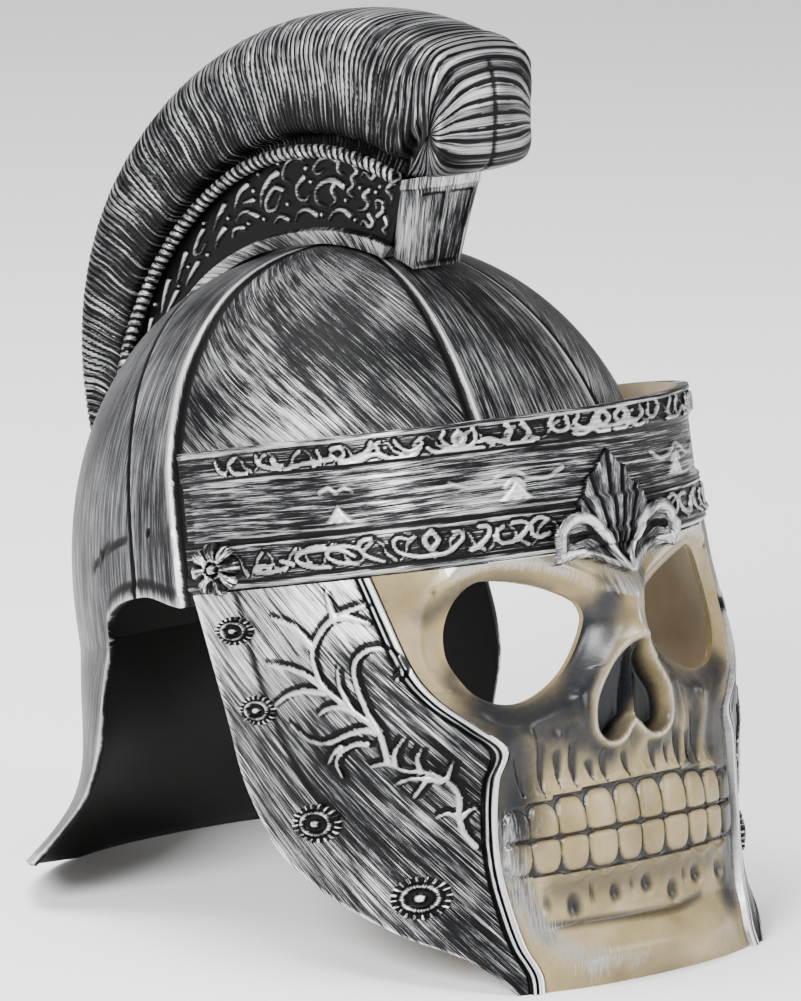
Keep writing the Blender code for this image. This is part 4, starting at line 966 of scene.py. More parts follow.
def build_band():
    """The band over the brow, with its scrolled borders and its spades."""
    build = Build()
    rows, columns = 107, 611
    share = np.linspace(0, 1, rows)[:, None]
    end = BAND_END_BOTTOM + (BAND_END_TOP - BAND_END_BOTTOM) * share
    angle = end * np.linspace(-1, 1, columns)[None, :]
    share = np.broadcast_to(share, angle.shape)
    profile = np.interp(share, *np.array(BAND_PROFILE).T)
    x = angle * ROUND_BAND
    z = share * BAND_HEIGHT
    scrolls = []
    for first, last, points in both_sides(LOWER_SCROLLS + UPPER_SCROLLS + SWAGS):
        scrolls.append((first + SCROLL_SWELL, last + SCROLL_SWELL, [(a, b * BAND_HEIGHT) for a, b in points]))
    fillers = []
    for number in range(HOOK_COUNT):
        start = HOOK_START + HOOK_PITCH * number
        for low, high, lean in HOOK_ROWS:
            turn = (lean if number % 2 else -lean) * (high - low)
            middle_z = (low + high) / 2
            hook = [(start + run, (middle_z + turn * climb) * BAND_HEIGHT) for run, climb in HOOK_SHAPE]
            fillers.append((0.35, 0.95, hook))
    traced = ridges(x, z, scrolls, 5)
    lift = np.maximum(traced, 0.55 * ridges(x, z, fillers, 5) * (1 - np.clip(traced * 3, 0, 1)))
    spade = np.zeros(x.shape)
    for place, height in SPADES:
        for side in (-1, 1):
            a = (x + side * place) / 1.3
            b = (z - height * BAND_HEIGHT) / 1.25
            half = np.clip(5.2 * (1.0 - b / 1.5) / 3.4, 0.01, 6.0)
            body = np.clip(1 - np.abs(a) / half, 0, 1) * (b < 1.5) * (b > -4.2)
            notch = 1 - bell(np.abs(a), 1.7, 0.8) * step(-b, 2.6, 4.2)
            spade = np.maximum(spade, np.clip(body * 2.2, 0, 1) * notch)
    border = ((share > 0.04) & (share < 0.30)) | ((share > 0.80) & (share < 0.955))
    grain = np.sin(x * 0.045 + 3.0 * np.sin(x * 0.021) + z * 1.9) * 0.5 + np.sin(x * 0.09 + z * 3.1) * 0.5
    middle = (share > 0.37) & (share < 0.77)
    profile = np.where((share > 0.14) & (share < 0.31), 1.0, profile)
    grooves = bell(share, 0.325, 0.010) + bell(share, 0.345, 0.006) * 0.6
    grooves = grooves + bell(share, 0.785, 0.010) + 0.6 * bell(share, 0.062, 0.010)
    rise = BAND_RELIEF * profile + 1.35 * lift * border + 1.1 * lift * middle + 1.3 * spade
    rise = rise + 0.10 * grain * middle - 0.55 * grooves
    level = BAND_SEAM + FACE_RISE + (BAND_HEIGHT - BAND_SEAM) * share
    outer, inner = mask_xyz(angle, level, rise), mask_xyz(angle, level, -MASK_WALL)
    for side in (outer, inner):
        side[..., 2] += end_rise(angle)
    near = np.zeros(x.shape)
    for down, along in ((1, 0), (-1, 0), (2, 0), (0, 1), (0, -1), (1, 1), (1, -1), (0, 2), (0, -2)):
        near = np.maximum(near, np.roll(lift, (down, along), (0, 1)))
    near = np.clip(near * 2.0, 0, 1) * (lift < 0.06)
    edges = largest(*(bell(share, height, wide) for height, wide in BAND_EDGES))
    raised = 0.45 + 0.20 * np.clip(lift * 1.2, 0, 1) + 0.45 * spade + 0.12 * grain * middle + 0.30 * edges
    raised = raised - 0.14 * border * (lift < 0.05)
    wash = np.clip(0.8 * grooves + 0.55 * near * border, 0, 1)
    ends = step(np.abs(angle), radians(86.5), radians(88.0))
    raised = raised - 0.25 * ends * (np.sin(z * 1.7) > 0)
    satin = np.clip(0.75 * np.maximum(np.clip(lift * 2.5, 0, 1), spade) + 0.35 * edges, 0, 0.8)
    paint = stacked(raised, wash, satin)
    flow = stacked(x, z * 1.15 + 0.8 * np.sin(x * 0.045))
    shell(build, outer, inner, flow, paint)
    build.finish("band_dressed", (BAND_SILVER, TAN), ("brow_band",))


# The shell-shaped palmette and its two rolled leaves: x and z of their outlines and ribs
FAN_REACH = 32.5
FAN_ROOT_Z = 92.0
FAN_TOP_Z = 144.0
FAN_PANEL = (
    (0.0, 94.5), (-7.0, 100.0), (-21.0, 113.0), (-20.4, 117.5), (-18.6, 118.5), (-18.2, 124.0),
    (-15.0, 125.5), (-13.2, 132.0), (-9.6, 134.0), (-3.0, 142.5), (2.0, 136.0), (6.2, 134.5), (8.2, 128.5),
    (12.6, 126.5), (14.0, 120.5), (18.4, 118.0), (20.0, 113.0), (7.0, 100.0),
)
FAN_RIBS = (
    (-19.4, 118.0), (-16.4, 125.0), (-11.2, 133.5), (-3.0, 142.5), (4.4, 135.5), (10.8, 127.5),
    (16.4, 119.5),
)
FAN_LEAF = (
    (0.5, 95.0), (5.0, 103.5), (10.5, 111.8), (17.5, 116.6), (24.5, 116.0), (29.4, 110.6), (30.2, 103.2),
)
FAN_LEAF_LOW = (
    (0.5, 94.5), (6.5, 98.2), (13.0, 101.6), (20.0, 103.4), (26.0, 103.2), (30.0, 102.4),
)


def build_fan():
    """Palmette over the nose's root, with a rolled leaf on each side."""
    build = Build()
    columns, rows = 190, 156
    x, z = np.meshgrid(np.linspace(-FAN_REACH, FAN_REACH, columns), np.linspace(FAN_ROOT_Z, FAN_TOP_Z, rows))
    panel = -inside_distance(x, z, np.array(FAN_PANEL))
    spread = np.arctan2(x, z - FAN_ROOT_Z)
    ribs = np.zeros(x.shape)
    groove = np.zeros(x.shape)
    directions = sorted(atan2(a, b - FAN_ROOT_Z) for a, b in FAN_RIBS)
    radius = np.hypot(x, z - FAN_ROOT_Z)
    for first, second in zip(directions, directions[1:]):
        part = np.clip((spread - first) / (second - first), 0, 1)
        within = (part > 0) & (part < 1)
        ribs = np.maximum(ribs, within * (0.45 + 0.55 * part) * np.sin(part * pi) ** 0.8)
    for direction in directions:
        groove = np.maximum(groove, bell((spread - direction) * radius, 0, 0.60))
    upper = curve(FAN_LEAF, 8)
    lower = curve(FAN_LEAF_LOW, 8)
    leaf_ring = np.vstack([upper, lower[::-1]])
    leaf = -inside_distance(np.abs(x), z, leaf_ring)
    roll = ridges(np.abs(x), z, ((1.4, 3.0, FAN_LEAF), (1.2, 2.2, FAN_LEAF_LOW)), 8)
    hollow = ridges(np.abs(x), z, ((0.5, 1.8, ((3.0, 98.5), (9.0, 105.5), (16.0, 110.0), (23.5, 109.4))),), 8)
    shape = largest(panel, leaf, np.where(roll > 0, 2.0 * roll, -9.0))
    rise = np.where(panel > 0, 1.8 + 0.9 * ribs - 0.7 * groove, -3.0)
    leaf_rise = np.where((leaf > 0) | (roll > 0), 3.2 + 2.6 * roll - 1.1 * hollow, -3.0)
    rise = np.maximum(rise, leaf_rise)
    rise = rise * (1 - 0.25 * step(z, 110.0, 140.0)) + 0.9 * (1 - step(z, 95.0, 102.0)) * (shape > 0)
    rise = np.where(shape < 0.35, -2.2, rise)
    angle = np.arctan2(x, MASK_DEPTH)
    share = np.clip((z - FACE_RISE) / BAND_HEIGHT, 0, 1)
    seat = BAND_RELIEF * np.interp(share, *np.array(BAND_PROFILE).T)
    base = mask_xyz(angle, np.maximum(z, FACE_RISE), seat)
    skull = mask_xyz(angle, np.minimum(z, FACE_RISE))[..., 1] - face_forms(x, z) - SKULL_SIDE_GAP
    y = np.minimum(base[..., 1], skull)
    points = stacked(base[..., 0], y - rise, z)
    keep = shape > -1.2
    cells = keep[:-1, :-1] & keep[:-1, 1:] & keep[1:, 1:] & keep[1:, :-1]
    bright = np.clip(0.30 + 0.26 * ribs + 0.34 * roll + 0.14 * (leaf > 0), 0, 1)
    wash = np.clip(0.85 * groove * (panel > 0) * (roll < 0.2) + 0.7 * hollow + 0.5 * (shape < 0.5), 0, 1)
    paint = stacked(bright, wash, 0.62)
    in_leaf = (leaf > 0) | (roll > 0)
    along = np.where(in_leaf, np.abs(x) * 1.1, radius)
    across = np.where(in_leaf, z - np.interp(np.abs(x), *np.array(FAN_LEAF).T), spread * 26.0)
    out = build.add(points, stacked(along, across), paint)
    build.quads(out, keep=cells)
    build.finish("fan_dressed", (TRIM_SILVER,), ("brow_fan",))


# Skull

NOSE_HALF = (
    (0.0, 69.5), (4.0, 67.5), (8.0, 62.5), (11.8, 57.0), (15.5, 51.5), (17.8, 46.5), (18.4, 40.0),
    (17.5, 35.5), (14.5, 32.4), (10.5, 31.5), (6.5, 33.0), (3.0, 36.5), (0.0, 39.0),
)
TOOTH_EDGES = (0.0, 11.9, 25.6, 37.6, 48.6, 58.0)
MOUTH_Z = -1.0
UPPER_TOPS = (14.6, 14.8, 13.6, 12.4, 11.0)
LOWER_BOTTOMS = (-15.0, -15.2, -14.8, -14.2, -13.6)
# The gum's edge over the upper teeth: distance from the middle, and height
GUM_ARCHES = (
    (0.0, 15.2), (5.9, 17.0), (11.9, 15.0), (18.7, 17.2), (25.6, 14.6), (31.6, 16.2), (37.6, 13.6),
    (43.1, 14.8), (48.6, 12.4),
)
# The brow's lower edge: distance from the middle, and height
BROW_LINE = (
    (0.0, 82.0), (9.7, 86.5), (16.4, 91.0), (26.6, 95.8), (38.3, 99.6), (48.9, 101.6), (57.2, 100.4),
    (63.2, 98.0), (68.5, 103.5), (90.0, 125.0),
)
# Dark wedges over the upper teeth: half width at the top, top point and tip
GUM_WEDGES = (
    (4.2, (-40.5, 41.0), (-40.4, 14.0)), (4.0, (-27.4, 39.0), (-27.1, 15.5)),
    (3.8, (-16.0, 31.0), (-13.4, 16.0)), (2.8, (-5.0, 28.0), (-1.8, 16.0)),
    (3.4, (9.0, 31.0), (11.6, 16.5)), (3.6, (24.2, 33.0), (25.8, 15.0)), (3.9, (38.0, 39.0), (38.6, 14.0)),
    (3.4, (-51.0, 37.0), (-49.0, 14.5)), (2.4, (-33.6, 34.0), (-33.8, 17.0)),
    (2.2, (-21.6, 27.0), (-20.4, 17.0)), (2.0, (17.0, 27.0), (18.6, 17.0)),
    (2.2, (31.0, 30.0), (32.0, 17.0)),
)
# Dark pits under the lower teeth: across, height, half width, half height, strength
CHIN_PITS = (
    (-33.0, -27.5, 3.3, 5.6, 1.0), (-24.8, -24.0, 1.5, 4.6, 0.7), (-13.7, -25.8, 3.0, 3.8, 1.0),
    (-5.5, -24.0, 1.3, 3.0, 0.6), (2.2, -25.0, 3.2, 3.6, 1.0), (15.6, -29.5, 3.0, 4.6, 0.9),
    (22.0, -24.5, 1.3, 3.0, 0.6), (29.0, -25.6, 3.0, 3.8, 1.0), (44.0, -26.0, 3.0, 4.4, 0.9),
    (-44.0, -25.0, 2.0, 4.2, 0.6),
)
# Dark washes: width, strength, points across and up; then how much wider and stronger they are laid on
WASHES = (
    (9.0, 0.95, ((-60.0, 50.0), (-50.0, 45.0), (-40.0, 44.5), (-27.0, 47.5))),
    (6.5, 1.00, ((-29.0, 48.0), (-21.0, 56.0), (-16.5, 66.0), (-13.5, 77.0))),
    (8.0, 0.95, ((-54.5, 42.0), (-52.0, 28.0), (-53.0, 16.0), (-55.0, 4.0))),
    (7.0, 0.90, ((-46.0, 44.0), (-38.0, 39.0), (-31.0, 39.0), (-24.0, 35.0))),
    (5.0, 0.95, ((-23.5, 52.0), (-22.5, 42.0), (-19.0, 32.0), (-13.0, 27.5))),
    (3.4, 0.90, ((-8.5, 86.0), (-10.0, 77.0), (-12.0, 68.0), (-17.0, 60.0))),
    (4.2, 0.70, ((8.0, 86.0), (9.5, 77.0), (12.5, 68.0), (18.0, 60.0))),
    (4.4, 0.85, ((22.5, 54.0), (23.5, 42.0), (20.0, 32.0), (13.0, 27.5))),
    (7.0, 0.80, ((20.0, 58.0), (30.0, 49.0), (44.0, 45.0), (58.0, 51.0))),
    (4.4, 0.85, ((34.8, 46.0), (37.0, 36.0), (36.0, 27.0), (32.8, 18.0))),
    (5.0, 0.85, ((57.2, 48.9), (50.0, 41.0), (46.8, 33.0), (47.5, 20.0))),
    (5.5, 0.90, ((53.0, 34.0), (53.5, 14.0), (54.5, -4.0), (53.0, -24.0), (48.0, -38.0))),
    (3.6, 0.60, ((-61.0, 72.0), (-68.0, 63.0), (-63.0, 56.0), (-55.0, 51.0))),
    (3.0, 0.70, ((-55.0, 3.0), (-55.0, -12.0), (-53.0, -22.0))),
    (2.6, 0.60, ((-52.0, -18.0), (-50.0, -28.0), (-46.0, -38.0))),
    (1.5, 0.65, ((-47.0, -34.0), (-21.6, -35.0), (0.0, -36.5), (16.0, -36.6), (30.0, -34.0))),
    (5.0, 0.45, ((-40.0, -20.5), (-20.0, -21.0), (0.0, -21.0), (20.0, -21.0), (42.0, -20.5))),
    (3.2, 0.55, ((-30.0, 90.0), (-46.0, 96.0), (-60.0, 94.0), (-72.0, 88.0))),
    (3.6, 0.55, ((-9.0, 92.0), (0.0, 88.0), (9.0, 92.0))),
)
WASH_SPREAD = 1.3
WASH_STRENGTH = 1.05
# Ridges of the cheeks and the brow: half width, rise and points
FACE_FOLDS = (
    (2.4, 1.3, ((-24.5, 50.0), (-25.0, 42.0), (-29.0, 34.0), (-33.0, 24.0))),
    (2.2, 1.1, ((-17.5, 30.0), (-19.5, 24.0), (-20.0, 18.0))),
    (2.4, 1.4, ((24.5, 50.0), (27.5, 42.0), (29.0, 34.0), (28.0, 20.0))),
    (2.6, 1.6, ((42.0, 46.0), (41.0, 36.0), (40.5, 26.0), (43.0, 16.0))),
    (2.2, 1.0, ((-46.0, 40.0), (-44.0, 30.0), (-45.0, 18.0))),
    (1.9, 0.9, ((-34.0, 36.0), (-33.0, 28.0), (-33.5, 18.0))),
    (1.9, 0.9, ((5.0, 29.0), (3.0, 24.0), (5.0, 18.0))),
    (2.6, 1.5, ((-64.0, 98.5), (-57.2, 101.0), (-48.9, 102.4), (-38.3, 100.4), (-26.6, 96.6),
        (-17.0, 92.4), (-10.5, 88.0))),
    (2.6, 1.5, ((64.0, 98.5), (57.2, 101.0), (48.9, 102.4), (38.3, 100.4), (26.6, 96.6), (17.0, 92.4),
        (10.5, 88.0))),
)


# Silver rubbed on the jaw, and painted brown shade at the temple: width, strength and points
JAW_SILVER = (
    (9.0, 0.82, ((-57.0, -14.0), (-52.0, -28.0), (-43.0, -42.0), (-30.0, -50.0))),
    (4.5, 0.72, ((-57.0, 8.0), (-57.0, -12.0))),
    (6.0, 0.65, ((-12.0, -52.0), (-34.0, -48.0))),
    (4.0, 0.55, ((57.0, 8.0), (56.0, -12.0), (52.0, -34.0))),
)
TEMPLE_SHADE = ((6.0, 1.0, ((-76.0, 90.0), (-72.0, 66.0), (-60.0, 46.0))),)


def eye_line():
    """Outline of the eye on +X."""
    return curve(np.array(EYE_CENTRE) + np.array(EYE_OUTLINE) * EYE_SIZE, 6, closed=True)


def nose_line():
    """Outline of the nose's opening."""
    half = curve(NOSE_HALF, 6)
    return np.vstack([half, (-1, 1) * half[::-1][1:-1]])


def face_forms(x, z):
    """How far the skull's large forms stand forward of the mask's surface."""
    across = np.abs(x) / MASK_HALF_WIDTH
    share = face_share(z)
    total = np.zeros(np.broadcast(x, z).shape)
    for place, height, spread, spread_up, rise in SKULL_FORMS:
        total = total + rise * spot(across, share, place, height, spread, spread_up)
    return total


def tooth_field(x, z):
    """Height of the teeth from 0 to 1, and the dark lines round them with painted shade towards each tooth's
    edges.
    """
    ax = np.abs(x)
    edges = np.array(TOOTH_EDGES)
    index = np.clip(np.searchsorted(edges, ax) - 1, 0, len(edges) - 2)
    centre = (edges[index] + edges[index + 1]) / 2
    half = (edges[index + 1] - edges[index]) / 2
    top = np.array(UPPER_TOPS)[index]
    bottom = np.array(LOWER_BOTTOMS)[index]
    across = (ax - centre) / half
    upper_mid = (top + MOUTH_Z + 0.5) / 2
    lower_mid = (bottom + MOUTH_Z - 0.5) / 2
    upper = (z - upper_mid) / ((top - MOUTH_Z - 0.5) / 2)
    lower = (z - lower_mid) / ((MOUTH_Z - 0.5 - bottom) / 2)
    up_round = 0.88 + 0.12 * step(-upper, -1.0, 0.2)
    low_round = 0.88 + 0.12 * step(lower, -1.0, 0.2)
    up = 1 - (np.abs(across) / up_round) ** 4.0 - np.abs(upper) ** np.where(upper > 0, 2.3, 9.0)
    low = 1 - (np.abs(across) / low_round) ** 4.0 - np.abs(lower) ** np.where(lower < 0, 2.3, 9.0)
    height = np.maximum(np.clip(up, 0, 1), np.clip(low, 0, 1)) * (ax < edges[-1])
    zone = (z < top + 0.9) & (z > bottom - 0.9) & (ax < edges[-1])
    # Dark lines round the teeth, and painted shade falling off towards each tooth's edges.
    line = np.maximum(np.clip(1.15 - height * 5.5, 0, 1), 0.42 * (1 - height) ** 1.5) * zone
    return np.sqrt(height), line, zone


def wedge_field(x, z):
    """Dark wedges above the upper teeth."""
    mark = np.zeros(x.shape)
    for width, top, tip in GUM_WEDGES:
        run = np.array(tip) - np.array(top)
        length = np.hypot(*run)
        unit = run / length
        along = ((x - top[0]) * unit[0] + (z - top[1]) * unit[1]) / length
        side = (x - top[0]) * -unit[1] + (z - top[1]) * unit[0]
        half = width * np.clip(1 - along, 0.02, 1) ** 0.8
        inside = np.clip(1.5 - 1.1 * np.abs(side) / half, 0, 1) * step(along, -0.15, 0.30) * (along < 1)
        mark = np.maximum(mark, inside)
    return mark


def skull_field(x, z):
    """Height of the fine forms in millimetres, and the paint's silver, wash and painted shade."""
    ax = np.abs(x)
    nose = inside_distance(x, z, nose_line())
    inside = step(-nose, 0.0, 2.6)
    pyramid = 4.6 * bell(np.clip(nose, 0, None), 0, 8.5) * (1 - step(z, 66.0, 92.0))
    bridge = 3.4 * bell(x, 0, 7.5) * step(z, 60.0, 70.0) * (1 - step(z, 84.0, 96.0))
    rim = 1.5 * bell(nose, 1.6, 1.7) * (1 - step(z, 60.0, 70.0) * 0.5)
    wing = bell(ax, 0, 1.1)
    floor_depth = 8.5 * inside
    septum = inside * wing * (4.0 + 4.5 * (1 - step(z, 40.0, 64.0)))
    scoop = inside * 2.0 * bell(ax, 9.5, 5.0)
    teeth, tooth_lines_and_shade, tooth_zone = tooth_field(x, z)
    wedges = wedge_field(x, z)
    folds = np.zeros(x.shape)
    for width, rise, points in FACE_FOLDS:
        distance, _ = to_line(x, z, curve(points, 5), width * 2.4)
        folds = np.maximum(folds, rise * bell(distance, 0, width) * (distance < width * 2.39))
    pits = np.zeros(x.shape)
    for a, b, wide, tall, strength in CHIN_PITS:
        pits = np.maximum(pits, strength * np.exp(-(((x - a) / wide) ** 2 + ((z - b) / tall) ** 2) ** 1.3))
    fold_z = -34.8 - 1.4 * bell(ax, 4.0, 22.0)
    chin_fold = bell(z, fold_z, 1.6) * (1 - step(ax, 34.0, 48.0)) * 1.3
    chin = 4.6 * bell(z, -46.5, 8.5) * (1 - step(ax, 26.0, 50.0))
    gum = 0.9 * bell(z, -17.2 + 1.2 * np.cos(ax * pi / 6.4), 1.1) * (ax < 50)
    diamond = np.clip(1 - (np.abs(ax - 69.1) / 1.6 + np.abs(z - 95.7) / 2.8), 0, 1)
    temple = 1.6 * spot(ax, z, 62.0, 52.0, 6.0, 5.0)
    height = pyramid + bridge + rim - floor_depth + septum - scoop + 1.7 * teeth * tooth_zone + folds
    height = height - 1.5 * wedges - 2.2 * pits - 1.0 * chin_fold + chin + gum - 2.0 * diamond + temple
    arch = np.interp(ax, *np.array(GUM_ARCHES).T)
    height = height - 0.7 * tooth_lines_and_shade + 0.7 * bell(z, arch + 1.0, 1.3) * (ax < 50)
    strokes = [(wide * WASH_SPREAD, amount * WASH_STRENGTH, points) for wide, amount, points in WASHES]
    washes = soft(x, z, strokes)
    nostrils = inside * (1.1 - 0.75 * wing * (1 - step(z, 38.0, 52.0)))
    side_teeth = 0.34 * tooth_zone * np.clip(np.abs(ax - 25) / 36.0, 0, 1)
    gums = 0.62 * bell(z, 33.0, 11.0) * (1 - step(ax, 50.0, 58.0)) * (1 - 0.75 * np.clip(folds, 0, 1))
    wash = largest(washes, wedges * 0.95, pits, tooth_lines_and_shade * 0.95, nostrils, 0.55 * diamond, side_teeth,
                   gums, 0.42 * spot(ax, z, 20.0, 48.0, 6.0, 14.0))
    wash = wash * (1 - 0.75 * np.clip(rim / 1.5, 0, 1) * (nose > 0.2))
    brow_z = np.interp(ax, *np.array(BROW_LINE).T)
    above = step(z - brow_z, -0.6, 2.2)
    lip = bell(z, brow_z, 1.0) * (ax > 12) * (ax < 72)
    silver = largest(0.82 * above * (1 - 0.5 * bell(ax, 14.0, 8.0)) + 0.40 * lip, 0.80 * bell(nose, 1.4, 1.1),
                     0.66 * bell(x, 0, 3.2) * step(z, 62.0, 70.0) * (1 - step(z, 80.0, 90.0)),
                     0.34 * teeth * (x < -36.0), 0.95 * soft(x, z, JAW_SILVER))
    # Painted shade: darker brown at the temple, in a band under the brow, and beside the nose's bridge under
    # the brow.
    shade = largest(0.5 * soft(x, z, TEMPLE_SHADE), 0.65 * bell(z, brow_z - 5.0, 4.0) * (ax < 60),
                    0.5 * spot(ax, z, 12.0, 84.0, 5.0, 7.0))
    return height, silver, wash, shade


def snap_hole(grid, hole, keep, x, z, rise):
    """Move the points of a cut cell that lie in the eye hole onto its outline."""
    outline = eye_line()
    ring = np.vstack([outline, outline[:1]])
    used = np.zeros(hole.shape, bool)
    used[:-1, :-1] |= keep
    used[:-1, 1:] |= keep
    used[1:, 1:] |= keep
    used[1:, :-1] |= keep
    snap = used & hole
    _, place = to_line(np.abs(x), z, ring, 9.0)
    lengths = lengths_to(ring)
    target_x = np.interp(place * lengths[-1], lengths, ring[:, 0]) * np.sign(x)
    target_z = np.interp(place * lengths[-1], lengths, ring[:, 1])
    moved = eye_edge(target_x, target_z, rise)
    for axis in range(3):
        grid[..., axis] = np.where(snap, moved[..., axis], grid[..., axis])


def eye_edge(x, z, rise):
    """Points at the bottom of the eye socket, on the skull's surface moved out by a rise."""
    angle = np.arctan2(x, MASK_DEPTH * 0.9)
    for _ in range(7):
        angle = angle + (x - mask_xyz(angle, z, rise)[..., 0]) / MASK_DEPTH
    points = mask_xyz(angle, z, rise)
    points[..., 1] += SOCKET_DEPTH - np.minimum(face_forms(x, z), NEAR_EYE_FORMS)
    points[..., 2] = face_row(angle, z)
    return points


def build_skull():
    """The bone-coloured face with its sockets, nose, teeth and chin."""
    build = Build()
    outline = eye_line()
    made = {}
    for side, rows, columns in ((0, 316, 241), (1, 80, 61)):
        z = np.linspace(-CHIN_DROP, FACE_RISE, rows)[:, None]
        front, _ = guard_edges(z)
        angle = (front - SKULL_SIDE_GAP / (MASK_DEPTH * 0.9)) * np.linspace(-1, 1, columns)[None, :]
        z = np.broadcast_to(z, angle.shape).copy()
        rise = -MASK_WALL * side
        grid = mask_xyz(angle, z, rise)
        x = mask_xyz(angle, z)[..., 0]
        gap = inside_distance(np.abs(x), z, outline)
        forms = face_forms(x, z)
        socket = -SOCKET_DEPTH * (1 - step(gap, 0.0, 9.0))
        if side == 0:
            height, silver, wash, shade = skull_field(x, z)
            lip = 0.9 * bell(gap, 8.5, 2.0) * (z > 60)
            grid[..., 1] -= forms + socket + height * step(gap, 0.0, 2.0) + lip
            wash = np.maximum(wash, 0.30 * (1 - step(gap, 0.0, 3.0)) * (z < 70))
            paint = stacked(silver, wash, shade)
        else:
            nose = inside_distance(x, z, nose_line())
            grid[..., 1] -= np.minimum(forms, NEAR_EYE_FORMS) + socket - 7.5 * (1 - step(nose, 0.5, 5.0))
            paint = np.zeros(grid.shape)
        grid[..., 2] = face_row(angle, z)
        hole = gap < 0
        keep = ~(hole[:-1, :-1] & hole[:-1, 1:] & hole[1:, 1:] & hole[1:, :-1])
        snap_hole(grid, hole, keep, x, z, rise)
        index = build.add(grid, stacked(z, x), paint)
        build.quads(index, side, flip=side == 1, keep=keep)
        made[side] = index
    out, ins = made[0], made[1]
    close_rim(build, out, ins, *(spread_picks(*counts) for counts in zip(out.shape, ins.shape)))
    ring = np.vstack([outline, outline[:1]])
    for side in (1, -1):
        layers = []
        for rise in (0.0, -MASK_WALL * 0.5, -MASK_WALL):
            points = eye_edge(side * ring[:, 0], ring[:, 1], rise)
            # The eye holes' walls are painted with a little wash and painted shade.
            layers.append(build.add(points, stacked(ring[:, 1], ring[:, 0]),
                                    np.broadcast_to((0.0, 0.12, 0.3), points.shape)))
        for first, second in zip(layers, layers[1:]):
            build.strip(first, second, 0, flip=side < 0)
    build.finish("skull_dressed", (BONE, TAN), ("skull_face",), sharp=radians(60))


# Cheek guards

# Thorned vine on each cheek guard: half widths at both ends, then points as degrees from the front and height
VINE = (
    (0.5, 1.1, ((48.3, 94.2), (51.7, 92.9), (55.3, 90.8), (58.6, 86.5), (60.8, 80.5), (60.6, 74.2),
        (59.4, 67.6), (56.5, 62.0), (53.4, 56.6), (51.0, 52.3), (49.3, 48.2))),
    (0.3, 1.3, ((56.0, 100.0), (55.6, 95.3), (55.1, 90.8))),
    (1.0, 0.4, ((55.1, 90.8), (51.9, 90.6), (48.4, 88.0))),
    (0.3, 1.3, ((69.2, 93.1), (64.9, 90.2), (62.6, 86.7), (60.7, 82.2))),
    (0.3, 1.2, ((72.3, 78.1), (67.2, 76.2), (63.1, 72.9), (59.4, 67.6))),
    (0.4, 1.2, ((72.5, 62.8), (68.5, 66.0), (64.1, 67.1), (59.5, 65.6))),
    (0.4, 1.1, ((61.4, 57.5), (59.4, 59.4), (56.3, 59.4), (54.0, 57.4))),
    (0.3, 1.2, ((55.9, 73.6), (55.9, 67.4), (54.8, 60.9), (53.6, 56.6))),
    (0.5, 1.1, ((44.6, 66.9), (43.2, 70.3), (43.9, 74.9), (46.5, 78.8), (49.3, 79.0), (51.7, 76.4),
        (52.6, 71.7), (52.1, 63.9), (51.0, 56.2), (49.5, 49.5), (48.8, 43.2), (48.5, 36.6))),
    (0.4, 1.2, ((69.0, 54.9), (65.3, 48.6), (60.6, 46.5), (55.8, 48.8), (52.3, 49.7), (49.3, 48.2))),
    (0.9, 0.5, ((52.0, 44.5), (54.7, 44.8), (57.7, 42.4), (59.2, 38.5), (58.4, 33.3))),
    (0.4, 0.8, ((61.0, 38.9), (59.4, 42.4), (57.6, 44.6))),
    (0.5, 1.0, ((51.7, 35.9), (48.7, 36.1), (45.7, 32.7), (42.2, 31.2), (39.4, 28.4), (37.4, 24.5),
        (36.7, 19.2), (37.1, 13.1), (36.7, 6.5), (34.9, 0.5))),
    (0.3, 1.0, ((45.1, 44.5), (46.9, 40.2), (47.3, 35.3))),
    (0.3, 1.0, ((42.1, 40.0), (43.1, 36.2), (42.7, 31.6))),
    (0.3, 0.9, ((36.9, 33.4), (37.9, 29.3), (38.5, 27.3))),
    (0.4, 1.0, ((47.7, 28.0), (45.4, 29.3), (42.3, 28.8), (39.5, 26.9))),
    (0.3, 0.8, ((44.8, 22.2), (43.4, 25.0), (42.3, 27.5))),
    (0.3, 0.8, ((41.2, 13.6), (39.2, 14.4), (37.2, 12.9))),
    (0.3, 0.8, ((33.8, 15.1), (35.4, 14.2), (36.9, 11.9))),
)


# The guard's crease: height, and degrees from the front
GUARD_CREASE = ((-60, 50.0), (24, 64.7), (36, 68.8), (46, 71.7), (58, 73.9), (70, 75.4), (90, 76.8),
                (106, 77.9))


